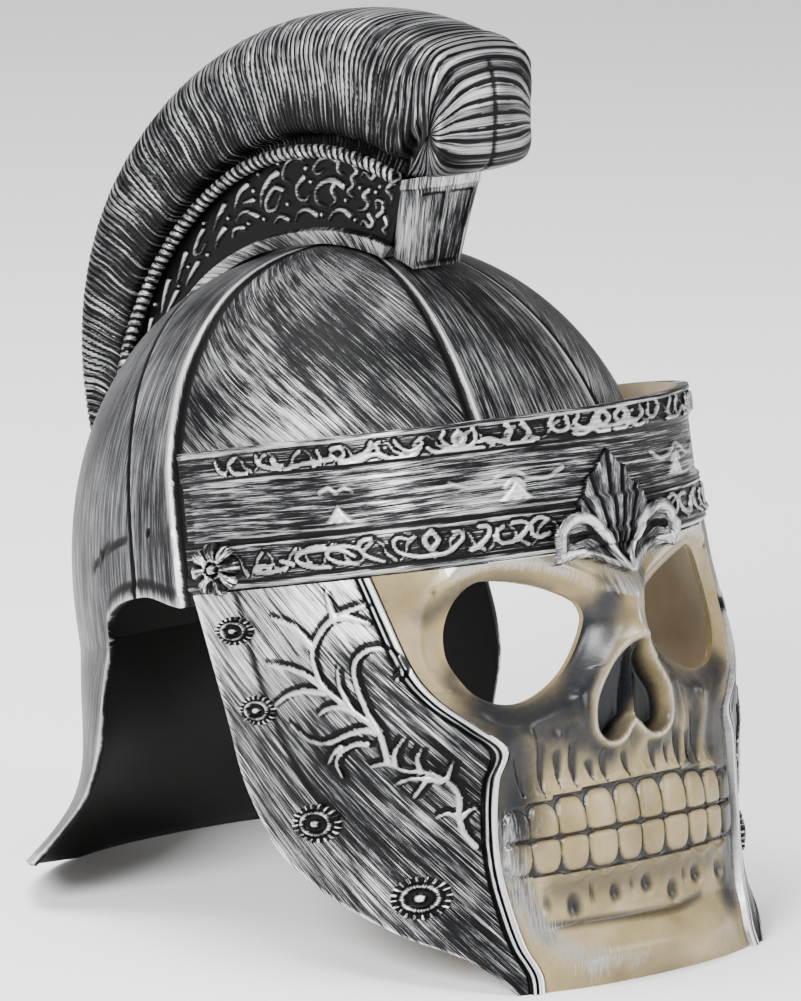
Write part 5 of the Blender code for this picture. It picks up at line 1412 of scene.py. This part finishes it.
def build_guard(word, side):
    """A cheek guard with its doubled front edge, its crease and its thorned vine."""
    build = Build()
    rows, columns = 272, 151
    share = np.linspace(0, 1, rows)[:, None]
    z = np.broadcast_to(face_z(share), (rows, columns)) - 0.3 * (share == 1.0)
    front, back = guard_edges(z)
    along = np.linspace(0, 1, columns)[None, :]
    angle = front + (back - front) * along
    width = MASK_HALF_WIDTH * (back - front)
    from_front = along * width
    from_back = (1 - along) * width
    round_guard = angle * ROUND_GUARD
    strokes = [(a * 0.9 + 0.45, b * 0.9 + 0.45, [(radians(turn) * ROUND_GUARD, up) for turn, up in points])
               for a, b, points in VINE]
    lift = ridges(round_guard, z, strokes, 5)
    around = np.zeros(lift.shape)
    for shift in (1, 2, 3):
        around[shift:] = np.maximum(around[shift:], lift[:-shift])
        around[:, :-shift] = np.maximum(around[:, :-shift], lift[:, shift:])
    around = np.clip(around * 1.5, 0, 1) * (lift < 0.05)
    edge_a = np.sqrt(np.clip(1 - ((from_front - 1.0) / 1.25) ** 2, 0, 1))
    edge_b = np.sqrt(np.clip(1 - ((from_front - 3.5) / 0.75) ** 2, 0, 1))
    groove = bell(from_front, 2.45, 0.35) + bell(from_front, 4.7, 0.6)
    roll = 1 - step(from_front, 3.6, 5.0)
    past_crease = np.degrees(angle) - np.interp(z, *np.array(GUARD_CREASE).T)
    crease = bell(past_crease, 0, 0.9) * step(z, 0.0, 30.0)
    panel = step(past_crease, -0.6, 0.6)
    back_roll = 1 - step(from_back, 0.8, 2.2)
    rise = GUARD_RISE + 1.3 * lift + 1.0 * roll + 0.7 * edge_a + 0.55 * edge_b - 0.8 * groove - 0.45 * crease
    rise = rise + 0.3 * panel * step(z, 0.0, 30.0) + 0.4 * back_roll - 0.35 * around
    outer, inner = mask_xyz(angle, z, rise), mask_xyz(angle, z, GUARD_RISE - MASK_WALL + 1.0)
    outer[..., 2] = inner[..., 2] = face_row(angle, z)
    tilt = radians(52.0)
    flow = stacked(-round_guard * cos(tilt) - z * sin(tilt), round_guard * sin(tilt) - z * cos(tilt))
    # Painted light: the guard's upper part and its rear facet past the crease are painted brighter, and a
    # spot low in its middle is painted darker as shade.
    bright = 0.18 * step(z, 55.0, 100.0) + 0.12 * panel - 0.12 * spot(round_guard, z, 62.0, 42, 16.0, 28.0)
    raised = 0.44 + 0.26 * lift + 0.42 * edge_a + 0.34 * edge_b + 0.2 * back_roll + bright
    wash = np.clip(0.8 * groove + 0.45 * crease + 0.55 * around, 0, 1)
    satin = np.clip(np.maximum(0.9 * (1 - step(from_front, 4.0, 6.5)), 1.2 * lift), 0, 0.9)
    paint = stacked(raised, wash, satin)
    shell(build, outer, inner, flow, paint)
    for points in build.points:
        points[:, 0] *= side
    if side < 0:
        build.faces = [face[::-1] for face in build.faces]
    build.finish(f"guard_dressed_{word}", (GUARD_SILVER, TAN), (f"cheek_guard_{word}",))


# Bosses and rosettes

def raised_disc(name, replaced, place, width, height, profile):
    """Round ornament: profile gives rise, silver and wash for a radius share and a turn."""
    build = Build()
    turn, radius = np.meshgrid(np.linspace(0, 2 * pi, 141), np.linspace(0.02, 1, 26))
    outline, rise, raised, wash = profile(radius, turn)
    along = radius * outline * np.cos(turn) * width / 2
    up = radius * outline * np.sin(turn) * height / 2
    points = place(along, up, rise)
    paint = stacked(raised, wash, 0.0)
    flow = stacked(radius * width / 2, turn * width / 4)
    out = build.add(points, flow, paint)
    build.quads(out, flip=points[0, 0, 0] > 0)
    build.finish(name, (TRIM_SILVER,), (replaced,), sharp=radians(70))


def boss_profile(radius, turn):
    """A round boss with a toothed rim, a ring and a button."""
    teeth = np.clip(np.cos(turn * 20) * 1.6 + 0.35, -0.35, 1)
    rim = step(radius, 0.70, 0.78)
    ring = bell(radius, 0.56, 0.10)
    button = 1 - step(radius, 0.12, 0.24)
    rise = BOSS_RISE * (0.10 + 0.36 * rim * (0.55 + 0.45 * teeth) + 0.62 * ring + 0.62 * button)
    rise = np.where(radius > 0.97, 0.0, rise)
    outline = 1 - 0.05 * rim * (teeth < 0)
    raised = 0.12 + 0.62 * ring + 0.70 * button + 0.62 * rim * (teeth > 0.1)
    wash = np.clip(0.7 * rim * (teeth < 0) + 0.5 * bell(radius, 0.36, 0.07), 0, 1)
    return outline, rise, raised, wash


def rosette_profile(radius, turn):
    """A rosette of eight rough petals round a ring and a button."""
    wave = np.abs(np.cos(turn * 4 + 0.3))
    rough = 0.5 + 0.5 * np.sin(turn * 19 + 2.0 * np.sin(turn * 5))
    petal = step(radius, 0.40, 0.50)
    ring = bell(radius, 0.36, 0.07)
    button = 1 - step(radius, 0.14, 0.24)
    outline = 1 - 0.17 * (1 - wave) ** 1.4 - 0.03 * rough
    vein = bell(np.sin(turn * 4 + 0.3), 0, 0.16) * (wave > 0.5)
    fall = 1 - 0.45 * step(radius, 0.7, 1.0)
    rise = ROSETTE_RISE * (0.16 + 0.48 * petal * wave**0.6 * fall + 0.55 * ring + 0.6 * button)
    rise = rise - 0.5 * vein * petal + 0.25 * petal * rough * (radius > 0.6)
    rise = np.where(radius > 0.97, 0.0, rise)
    raised = 0.16 + 0.52 * petal * wave + 0.6 * ring + 0.6 * button - 0.25 * vein * petal
    wash = np.clip(0.7 * petal * (wave < 0.30) + 0.5 * bell(radius, 0.27, 0.05), 0, 1)
    return outline, rise, raised, wash


def build_discs(word, side):
    """The four toothed bosses on a cheek guard and the rosette at the band's end."""
    for number, (angle, share, wide, tall) in enumerate(BOSSES, 1):
        z = face_z(share)

        def place(along, up, rise, angle=radians(angle), z=z):
            points = mask_xyz(angle + along / MASK_HALF_WIDTH, z + up, GUARD_RISE + 0.2 + rise)
            points[..., 0] *= side
            return points

        raised_disc(f"boss_dressed_{word}_{number}", f"cheek_boss_{word}_{number}", place, BOSS_WIDTH * wide,
                    BOSS_WIDTH * tall, boss_profile)

    def place_rosette(along, up, rise):
        points = mask_xyz(ROSETTE_ANGLE + along / MASK_HALF_WIDTH, ROSETTE_Z + up, BAND_RELIEF * 1.3 + rise)
        points[..., 0] *= side
        return points

    raised_disc(f"rosette_dressed_{word}", f"temple_rosette_{word}", place_rosette, ROSETTE_WIDTH + 1.0,
                ROSETTE_HEIGHT + 2.0, rosette_profile)


def build_bracket():
    """Tapered block under the brush's front, with a lip and two sunken panels."""
    build = Build()
    angle = CREST_FRONT_ANGLE
    low = crest_xyz(angle, dome_radius(angle, 0.0) + SEAT_GAP)[1:]
    high = crest_xyz(angle, rope_radius(0.0) - SEAT_GAP)[1:]
    along = (high - low) / np.linalg.norm(high - low)
    forward = np.array((-along[1], along[0]))
    rows = 60
    up = np.linspace(0, 1, rows)
    wide = np.interp(up, (0, 0.86, 0.87, 1.0), (0.76, 1.0, 1.06, 1.06)) * 15.6
    path = []
    for part in np.linspace(0, 1, 5):
        path.append((0.86 + 0.14 * part, 0.3 + 4.2 * part, 0.0))
    for part in np.linspace(0, 1, 8)[1:]:
        path.append((1.0, 4.5 + 10.5 * part, 0.0))
    for part in np.linspace(1, -1, 61)[1:-1]:
        panel = (abs(part) > 0.07) * (abs(part) < 0.84)
        path.append((part, 15.0, float(panel)))
    path += [(-a, b, c) for a, b, c in path[:12][::-1]]
    path = np.array(path)
    points = np.empty((rows, len(path), 3))
    points[..., 0] = path[None, :, 0] * wide[:, None]
    inside = ((up > 0.05) & (up < 0.80))[:, None] * path[None, :, 2]
    depth = path[None, :, 1] - 1.1 * inside
    foot_y = low[0] + forward[0] * depth
    foot_z = bowl_top(np.zeros(foot_y.shape), foot_y) + 0.6
    top_y = high[0] + forward[0] * depth
    top_z = np.full(depth.shape, high[1] - 0.3)
    points[..., 1] = foot_y + (top_y - foot_y) * up[:, None]
    points[..., 2] = foot_z + (top_z - foot_z) * up[:, None]
    edge = np.clip(np.abs(np.gradient(inside, axis=1)) + np.abs(np.gradient(inside, axis=0)), 0, 1)
    corner = bell(np.abs(path[None, :, 0]), 1.0, 0.03) * (path[None, :, 1] > 14.5)
    lip = (up > 0.865)[:, None]
    paint = stacked(0.54 + 0.20 * corner + 0.15 * lip - 0.04 * inside, 0.45 * edge, 0.25)
    flow = stacked(up[:, None] * 36, path[None, :, 0] * 15 + path[None, :, 1] * 0.7)
    out = build.add(points, flow, paint)
    build.quads(out, flip=True)
    build.strip(out[:, 0], out[:, -1], 0, flip=False)
    build.face(out[-1], flip=True)
    build.face(out[0])
    build.finish("bracket_dressed", (CREST_SILVER,), ("crest_bracket",), sharp=radians(40))


# Crest

# The point that the front's ribs fan out from: y and z
PIVOT = np.array((34.5, 268.5))
ARC_SECTIONS = 561
RIB_PITCH = 3.1
RIB_SEED = 11
WOBBLE_SEED = 3
BRUSH_TABLES = (
    # half widths at heights 0 to 1: the arc, the tall front, the shallow front, the bottom and the underside
    ((0.00, 0.42), (0.11, 0.44), (0.17, 0.72), (0.45, 0.90), (0.76, 1.00), (0.95, 0.72), (1.00, 0.00)),
    ((0.00, 0.95), (0.18, 0.98), (0.38, 1.00), (0.58, 1.00), (0.80, 0.94), (0.95, 0.66), (1.00, 0.00)),
    ((0.00, 0.94), (0.20, 0.94), (0.36, 0.92), (0.52, 0.86), (0.70, 0.70), (0.88, 0.44), (1.00, 0.00)),
    ((0.00, 0.94), (0.22, 0.94), (0.45, 0.93), (0.66, 0.90), (0.84, 0.82), (0.96, 0.60), (1.00, 0.00)),
    ((0.00, 0.94), (0.20, 0.84), (0.40, 0.74), (0.60, 0.63), (0.80, 0.53), (0.97, 0.42), (1.00, 0.00)),
)
FRONT_OUTLINE = (
    # place between the tables above, 0 to 4, then the middle outline's y and z
    (0.0, 36.4, 306.6), (0.5, 29.6, 303.6), (1.0, 24.6, 298.8), (1.5, 21.8, 292.0), (2.0, 21.0, 284.5),
    (2.0, 22.0, 275.5), (2.0, 24.6, 265.5), (2.6, 27.6, 257.8), (3.0, 32.6, 253.2), (3.4, 42.0, 252.2),
    (3.8, 54.0, 252.6), (4.0, 66.6, 254.2),
)


def noise_line(count, seed, smooth):
    """A smooth random line between -1 and 1."""
    values = np.random.default_rng(seed).uniform(-1, 1, count + 8 * smooth)
    window = np.hanning(2 * smooth + 1)
    return np.convolve(values, window / np.sqrt((window**2).sum()), "same")[4 * smooth:4 * smooth + count]


def brush_sections():
    """Feet, outer points, widths, heights, arc lengths and places round the front of the brush's sections.

    They run from the back over the arc and round the front to the underside.
    """
    shares = np.linspace(1, 0, ARC_SECTIONS)
    angles = crest_angle(shares)
    rope = rope_radius(shares)
    height = BRUSH_HEIGHT * table_at(CREST_SECTIONS, shares)[..., 2]
    feet = crest_xyz(angles, rope + 0.4)[:, 1:]
    outer = crest_xyz(angles, rope + height)[:, 1:]
    widths = np.array([[row[1] for row in table] for table in BRUSH_TABLES])
    heights = np.array([[row[0] for row in table] for table in BRUSH_TABLES])
    narrow = 1.0 - 0.30 * step(shares, 0.6, 1.0)
    section_w = widths[0][None, :] * narrow[:, None]
    section_h = np.broadcast_to(heights[0], section_w.shape)
    front_line = curve([row[1:] for row in FRONT_OUTLINE], 18)
    kinds = curve([(row[0], 0) for row in FRONT_OUTLINE], 18)[:, 0].clip(0, 4)
    front_line, kinds = front_line[1:], kinds[1:]
    low = np.clip(np.floor(kinds).astype(int), 0, 3)
    part = (kinds - low)[:, None]
    front_w = widths[low] * (1 - part) + widths[low + 1] * part
    front_h = heights[low] * (1 - part) + heights[low + 1] * part
    move = np.clip(kinds, 0, 1)[:, None]
    front_feet = feet[-1] * (1 - move) + PIVOT * move
    feet = np.vstack([feet, front_feet])
    outer = np.vstack([outer, front_line])
    section_w = np.vstack([section_w, front_w])
    section_h = np.vstack([section_h, front_h])
    arc = lengths_to(outer)
    ahead = np.concatenate([np.zeros(ARC_SECTIONS), kinds])
    return feet, outer, section_w, section_h, arc, ahead


def build_brush():
    """The moulded brush: ribs from the rope out over the crown, fanned round its front."""
    build = Build()
    feet, outer, widths, heights, arc, ahead = brush_sections()
    columns = 97
    shape = (len(feet), columns)
    across = np.empty(shape)
    up = np.empty(shape)
    for index in range(len(feet)):
        half = np.column_stack([-widths[index], heights[index]])
        ring = np.vstack([half, [(-a, b) for a, b in half[-2::-1]]])
        line = curve(ring, 12)
        run = lengths_to(line * (BRUSH_HALF_WIDTH, BRUSH_HEIGHT))
        even = np.linspace(0, run[-1], columns)
        across[index] = np.interp(even, run, line[:, 0])
        up[index] = np.interp(even, run, line[:, 1])
    x = across * BRUSH_HALF_WIDTH
    y = feet[:, :1] + (outer - feet)[:, :1] * up
    z = feet[:, 1:] + (outer - feet)[:, 1:] * up
    points = stacked(x, y, z)
    normals = grid_normals(points)
    reach = np.linalg.norm(outer - feet, axis=1)[:, None]
    on_arc = (ahead < 0.02) * step(arc.max() - arc, 60.0, 110.0)
    bend = 11.0 * np.clip(1 - up, 0, 1) ** 2.2 * on_arc[:, None]
    pitch = RIB_PITCH + 2.4 * step(ahead, 0.6, 1.8)
    place = np.concatenate([[0.0], np.cumsum(np.diff(arc) / pitch[1:])])[:, None]
    wobble = noise_line(len(feet), WOBBLE_SEED, 14)[:, None] * 0.18
    sway = 0.20 * np.sin(up * 5.0 + place * 0.23) * step(up, 0.02, 0.4) + 0.06 * np.sin(up * 13 + place * 0.7)
    phase = place + bend / RIB_PITCH + wobble + sway
    part = np.abs(phase - np.round(phase)) * 2
    number = np.round(phase).astype(int)
    ridge = np.sqrt(np.clip(1 - part**2.4, 0, 1))
    lifts = np.random.default_rng(RIB_SEED).uniform(0.45, 1.0, 400)
    lift = lifts[number % len(lifts)]
    depth = (1.05 + 0.6 * (1 - up)) * step(reach, 4.0, 30.0)
    depth = depth * (1 - 0.55 * step(ahead, 1.0, 2.0)[:, None])
    fine = 0.5 + 0.5 * np.cos(phase * 2 * pi * 3 + number * 1.7)
    seam = bell(x, 0, 0.9) * step(ahead, 1.2, 1.6)[:, None]
    rise = depth * (ridge - 1.0 + 0.25 * lift) + 0.10 * fine - 0.5 * seam
    points = points + normals * rise[..., None]
    fronts = step(ahead, 0.5, 1.4)[:, None]
    raised = 0.72 * ridge * (0.50 + 0.50 * lift) - 0.30 * (1 - step(up, 0.0, 0.50)) + 0.08 * fine
    raised = raised + 0.03 * fronts
    wash = np.clip(0.40 * seam + 0.60 * (part > 0.74) * (1 - 0.4 * fronts), 0, 1)
    paint = stacked(raised, wash, 0.34 + 0.06 * fronts)
    flow = stacked(up * reach, phase * RIB_PITCH)
    out = build.add(points, flow, paint)
    build.quads(out, flip=True)
    build.strip(out[:ARC_SECTIONS, 0], out[:ARC_SECTIONS, -1])
    build.face(out[0], flip=True)
    build.finish("brush_dressed", (BRUSH_SILVER,), ("crest_plume",), sharp=radians(80))


def build_rope(word, side):
    """Rope border of slanted beads between the plate and the brush."""
    build = Build()
    x = side * (PLATE_HALF_WIDTH + SEAT_GAP + ROPE_RADIUS)
    shares = 0.004 + 0.987 * np.linspace(0, 1, 780)
    angles = crest_angle(shares)
    radius = rope_radius(shares)
    middle = crest_xyz(angles, radius, x)
    arc = lengths_to(middle)
    turn = np.linspace(0, 2 * pi, 15)[None, :]
    phase = arc[:, None] / BEAD_PITCH + side * np.sin(turn) * 0.32 + 0.35 * np.cos(turn)
    bead = np.abs(np.sin(pi * phase)) ** 0.55
    swell = ROPE_RADIUS * (0.80 + 0.24 * bead)
    points = crest_xyz(angles[:, None], radius[:, None] + swell * np.sin(turn),
                       x + side * swell * np.cos(turn))
    paint = stacked(-0.05 + 0.72 * bead, 0.7 * (bead < 0.60), 0.3)
    flow = stacked(turn * ROPE_RADIUS, arc[:, None])
    out = build.add(points, flow, paint)
    build.quads(out, flip=side > 0)
    for row, flip in ((0, side < 0), (-1, side > 0)):
        build.face(out[row, :-1], flip=flip)
    build.finish(f"rope_dressed_{word}", (TRIM_SILVER,), (f"crest_rope_{word}",))


# Scrolls on the crest's plate: width at both ends, then points as length back from the front and height share
PLATE_SCROLLS = (
    (0.9, 0.5, ((10.5, 0.30), (8.0, 0.40), (9.0, 0.52), (12.5, 0.50), (12.0, 0.40))),
    (0.9, 0.4, ((5.0, 0.86), (7.5, 0.72), (4.5, 0.66), (4.0, 0.54))),
    (0.9, 0.4, ((14.0, 0.88), (16.0, 0.78), (20.0, 0.83), (22.0, 0.74))),
    (0.9, 0.4, ((6.0, 0.32), (4.2, 0.22), (6.5, 0.14), (4.0, 0.08))),
    (1.0, 0.5, ((16.0, 0.26), (13.0, 0.18), (15.5, 0.10), (19.0, 0.16), (21.0, 0.10))),
    (1.0, 0.5, ((17.0, 0.60), (20.0, 0.50), (17.0, 0.42), (19.0, 0.32), (23.0, 0.28))),
    (0.9, 0.5, ((26.0, 0.90), (24.0, 0.80), (27.0, 0.70), (26.0, 0.60), (29.5, 0.50), (26.5, 0.44))),
    (1.1, 0.5, ((33.5, 0.88), (38.0, 0.93), (44.0, 0.88), (48.0, 0.76), (46.0, 0.70), (42.5, 0.74))),
    (0.9, 0.4, ((33.5, 0.88), (34.5, 0.76), (32.0, 0.70))),
    (1.2, 0.5, ((32.0, 0.56), (37.0, 0.62), (44.0, 0.58), (49.0, 0.46), (49.0, 0.32), (44.0, 0.26))),
    (0.9, 0.4, ((36.0, 0.60), (39.0, 0.48), (37.0, 0.36), (41.0, 0.28))),
    (1.1, 0.5, ((28.0, 0.18), (33.0, 0.24), (39.0, 0.20), (43.0, 0.10))),
    (0.9, 0.4, ((53.0, 0.92), (58.0, 0.94), (63.0, 0.86), (66.0, 0.72), (63.0, 0.64))),
    (1.0, 0.5, ((54.0, 0.66), (59.0, 0.56), (60.0, 0.42), (56.0, 0.36), (53.0, 0.44))),
    (1.1, 0.5, ((50.5, 0.16), (56.0, 0.24), (62.0, 0.22), (66.0, 0.12))),
    (1.2, 0.6, ((68.0, 0.80), (73.0, 0.76), (80.0, 0.62), (84.0, 0.44))),
    (1.0, 0.5, ((68.0, 0.56), (72.0, 0.62), (79.0, 0.50), (81.0, 0.36), (76.0, 0.34), (72.0, 0.44),
        (69.0, 0.54))),
    (1.0, 0.5, ((70.0, 0.16), (75.0, 0.22), (80.0, 0.16))),
    (1.1, 0.5, ((86.0, 0.82), (92.0, 0.78), (98.0, 0.64))),
    (1.1, 0.5, ((88.0, 0.34), (94.0, 0.50), (101.0, 0.46))),
    (0.9, 0.5, ((86.0, 0.58), (92.0, 0.62))),
    (1.0, 0.5, ((99.0, 0.28), (104.0, 0.34), (108.0, 0.26))),
    (1.1, 0.5, ((102.0, 0.78), (108.0, 0.70), (115.0, 0.58))),
    (1.1, 0.5, ((109.0, 0.46), (115.0, 0.40), (120.0, 0.30))),
    (1.0, 0.5, ((119.0, 0.72), (125.0, 0.66), (131.0, 0.54), (128.0, 0.44), (123.0, 0.50))),
    (1.1, 0.5, ((134.0, 0.70), (141.0, 0.60), (148.0, 0.50))),
    (1.0, 0.5, ((133.0, 0.34), (140.0, 0.30), (146.0, 0.24))),
    (1.1, 0.5, ((150.0, 0.72), (158.0, 0.62), (165.0, 0.48))),
    (1.1, 0.5, ((152.0, 0.34), (160.0, 0.32), (168.0, 0.26))),
    (1.0, 0.5, ((170.0, 0.70), (178.0, 0.60), (186.0, 0.46))),
    (1.0, 0.5, ((176.0, 0.30), (184.0, 0.28), (192.0, 0.34))),
)
PLATE_DOTS = (
    (11.0, 0.72), (30.5, 0.38), (24.5, 0.14), (50.5, 0.60), (52.0, 0.78), (67.5, 0.36), (66.0, 0.92),
    (85.0, 0.26), (95.0, 0.30), (84.0, 0.70), (104.0, 0.56), (116.5, 0.80), (126.0, 0.30), (138.0, 0.46),
    (149.0, 0.38), (22.0, 0.60), (13.0, 0.62), (47.0, 0.16), (78.0, 0.88), (163.0, 0.78), (174.0, 0.44),
)


def build_plate():
    """The upright plate with its scrolls in relief and the flange over the dome."""
    build = Build()
    columns, rows = 410, 54
    shares = np.linspace(0, 1, columns)
    angles = crest_angle(shares)
    outer_x = PLATE_HALF_WIDTH + FLANGE_OUT
    panel_x = PLATE_HALF_WIDTH - PLATE_SINK
    middle = dome_radius(angles, 0.0) + 0.6
    foot = dome_radius(angles, outer_x) + 0.6
    top = rope_radius(shares) - SEAT_GAP
    flange = np.minimum(foot + 5.0, (foot + top) / 2)
    line = crest_xyz(angles, (flange + top) / 2)
    arc = lengths_to(line)
    up = np.linspace(0, 1, rows)[:, None]
    base = flange[None, :] + 1.25
    radius = base + (top[None, :] - base) * up
    height = radius - base
    grid_arc = np.broadcast_to(arc[None, :], radius.shape)
    deep = (top - base[0])[None, :]
    lift = np.zeros(radius.shape)
    for first, last, points in PLATE_SCROLLS:
        marks = [(a, b * np.interp(a, arc, deep[0])) for a, b in points]
        lift = np.maximum(lift, ridges(grid_arc, height, ((first * 1.35, last * 1.5, marks),)))
    for a, b in PLATE_DOTS:
        distance = np.hypot(grid_arc - a, height - b * np.interp(a, arc, deep[0]))
        lift = np.maximum(lift, np.sqrt(np.clip(1 - (distance / 1.1) ** 2, 0, 1)))
    x = panel_x + 1.5 * lift
    for side in (1, -1):
        points = crest_xyz(np.broadcast_to(angles, radius.shape), radius, side * x)
        paint = stacked(0.02 + 0.74 * lift, 0.6 * (lift < 0.1), 0.6 * (lift > 0.1))
        flow = stacked(grid_arc, height)
        face = build.add(points, flow, paint)
        build.quads(face, flip=side < 0)
        low = []
        # distance from the middle, radius, place across the flow and silver
        for width, ring, mark, level in ((0.0, middle, -20, 0.50), (outer_x, foot, -2, 0.50),
                                         (outer_x, flange, 2.5, 0.66), (panel_x, base[0], 4, 0.50)):
            slant = stacked(arc * 0.5 + mark * 0.6, arc * 0.9 - mark * 1.4)
            low.append(build.add(crest_xyz(angles, ring, side * width), slant, (level, 0.0, 0.0)))
        for first, second in zip(low, low[1:]):
            build.strip(first, second, 0, flip=side < 0)
        high = build.add(crest_xyz(angles, top, 0.0), stacked(arc, 0.0))
        build.strip(face[-1], high, 0, flip=side < 0)
        for column, flip in ((0, side < 0), (-1, side > 0)):
            ring = [*(row[column] for row in low[:3]), *face[:, column], high[column]]
            build.face(ring, flip=not flip)
    build.finish("plate_dressed", (CREST_SILVER,), ("crest_base",), merge=True,
                 sharp=radians(60))


# Camera, light and floor

CAMERA_AZIMUTH = radians(-41.0)
CAMERA_HEIGHT = radians(11.4)
CAMERA_DISTANCE = 3.0
CAMERA_LENS = 283.97
AIM = Vector((-53.03, 77.69 + HOLDER_Y, 118.25 + HOLDER_Z)) / 1000


LOOK_AT = Vector((0.0, 0.0, 0.17))
FLOOR_REACH = 6.0
SKY_STRENGTH = 0.62
LAMPS = (
    # name, place, size, power
    ("key", (-2.2, -0.9, 1.5), 1.1, 150.0),
    ("fill", (1.2, -2.2, 1.0), 1.4, 50.0),
    ("top", (-0.2, 0.5, 2.4), 1.4, 95.0),
)


def place_object(name, data, location=(0.0, 0.0, 0.0), toward=None):
    """An object in the scene, its -Z turned along a direction where one is given."""
    made = bpy.data.objects.new(name, data)
    made.location = location
    if toward is not None:
        made.rotation_mode = "QUATERNION"
        made.rotation_quaternion = toward.to_track_quat("-Z", "Y")
    bpy.context.scene.collection.objects.link(made)
    return made


def build_stage():
    """Pale floor, white surroundings, soft lamps and the camera."""
    back = Vector((sin(CAMERA_AZIMUTH) * cos(CAMERA_HEIGHT), -cos(CAMERA_AZIMUTH) * cos(CAMERA_HEIGHT),
                   sin(CAMERA_HEIGHT)))
    data = bpy.data.cameras.new("camera")
    data.lens = CAMERA_LENS
    data.sensor_width = 36.0
    bpy.context.scene.camera = place_object("camera", data, AIM + back * CAMERA_DISTANCE, -back)
    floor_mesh = bpy.data.meshes.new("floor")
    corners = [(a * FLOOR_REACH, b * FLOOR_REACH, 0) for a, b in ((-1, -1), (1, -1), (1, 1), (-1, 1))]
    floor_mesh.from_pydata(corners, [], [(0, 1, 2, 3)])
    made, tree, shader = material("floor_paper")
    clouds = place_noise(tree, 400.0, 2.0)
    paper = ramp(tree, clouds, ((0.0, (0.90, 0.90, 0.90)), (1.0, (0.93, 0.93, 0.93))))
    link(tree, paper, shader.inputs["Base Color"])
    shader.inputs["Roughness"].default_value = 0.9
    floor_mesh.materials.append(made)
    floor = place_object("floor", floor_mesh)
    world = bpy.data.worlds.new("studio")
    bpy.context.scene.world = world
    world.use_nodes = True
    background = world.node_tree.nodes["Background"]
    background.inputs["Color"].default_value = (1.0, 1.0, 1.0, 1.0)
    background.inputs["Strength"].default_value = SKY_STRENGTH
    for name, place, size, power in LAMPS:
        lamp = bpy.data.lights.new(name, "AREA")
        lamp.size = size
        lamp.energy = power
        place_object(name, lamp, place, LOOK_AT - Vector(place))


build_bowl()
build_plate()
build_brush()
for word, side in (("left", 1), ("right", -1)):
    build_rope(word, side)
build_band()
build_fan()
build_skull()
build_bracket()
for word, side in (("left", 1), ("right", -1)):
    build_guard(word, side)
    build_discs(word, side)
build_stage()
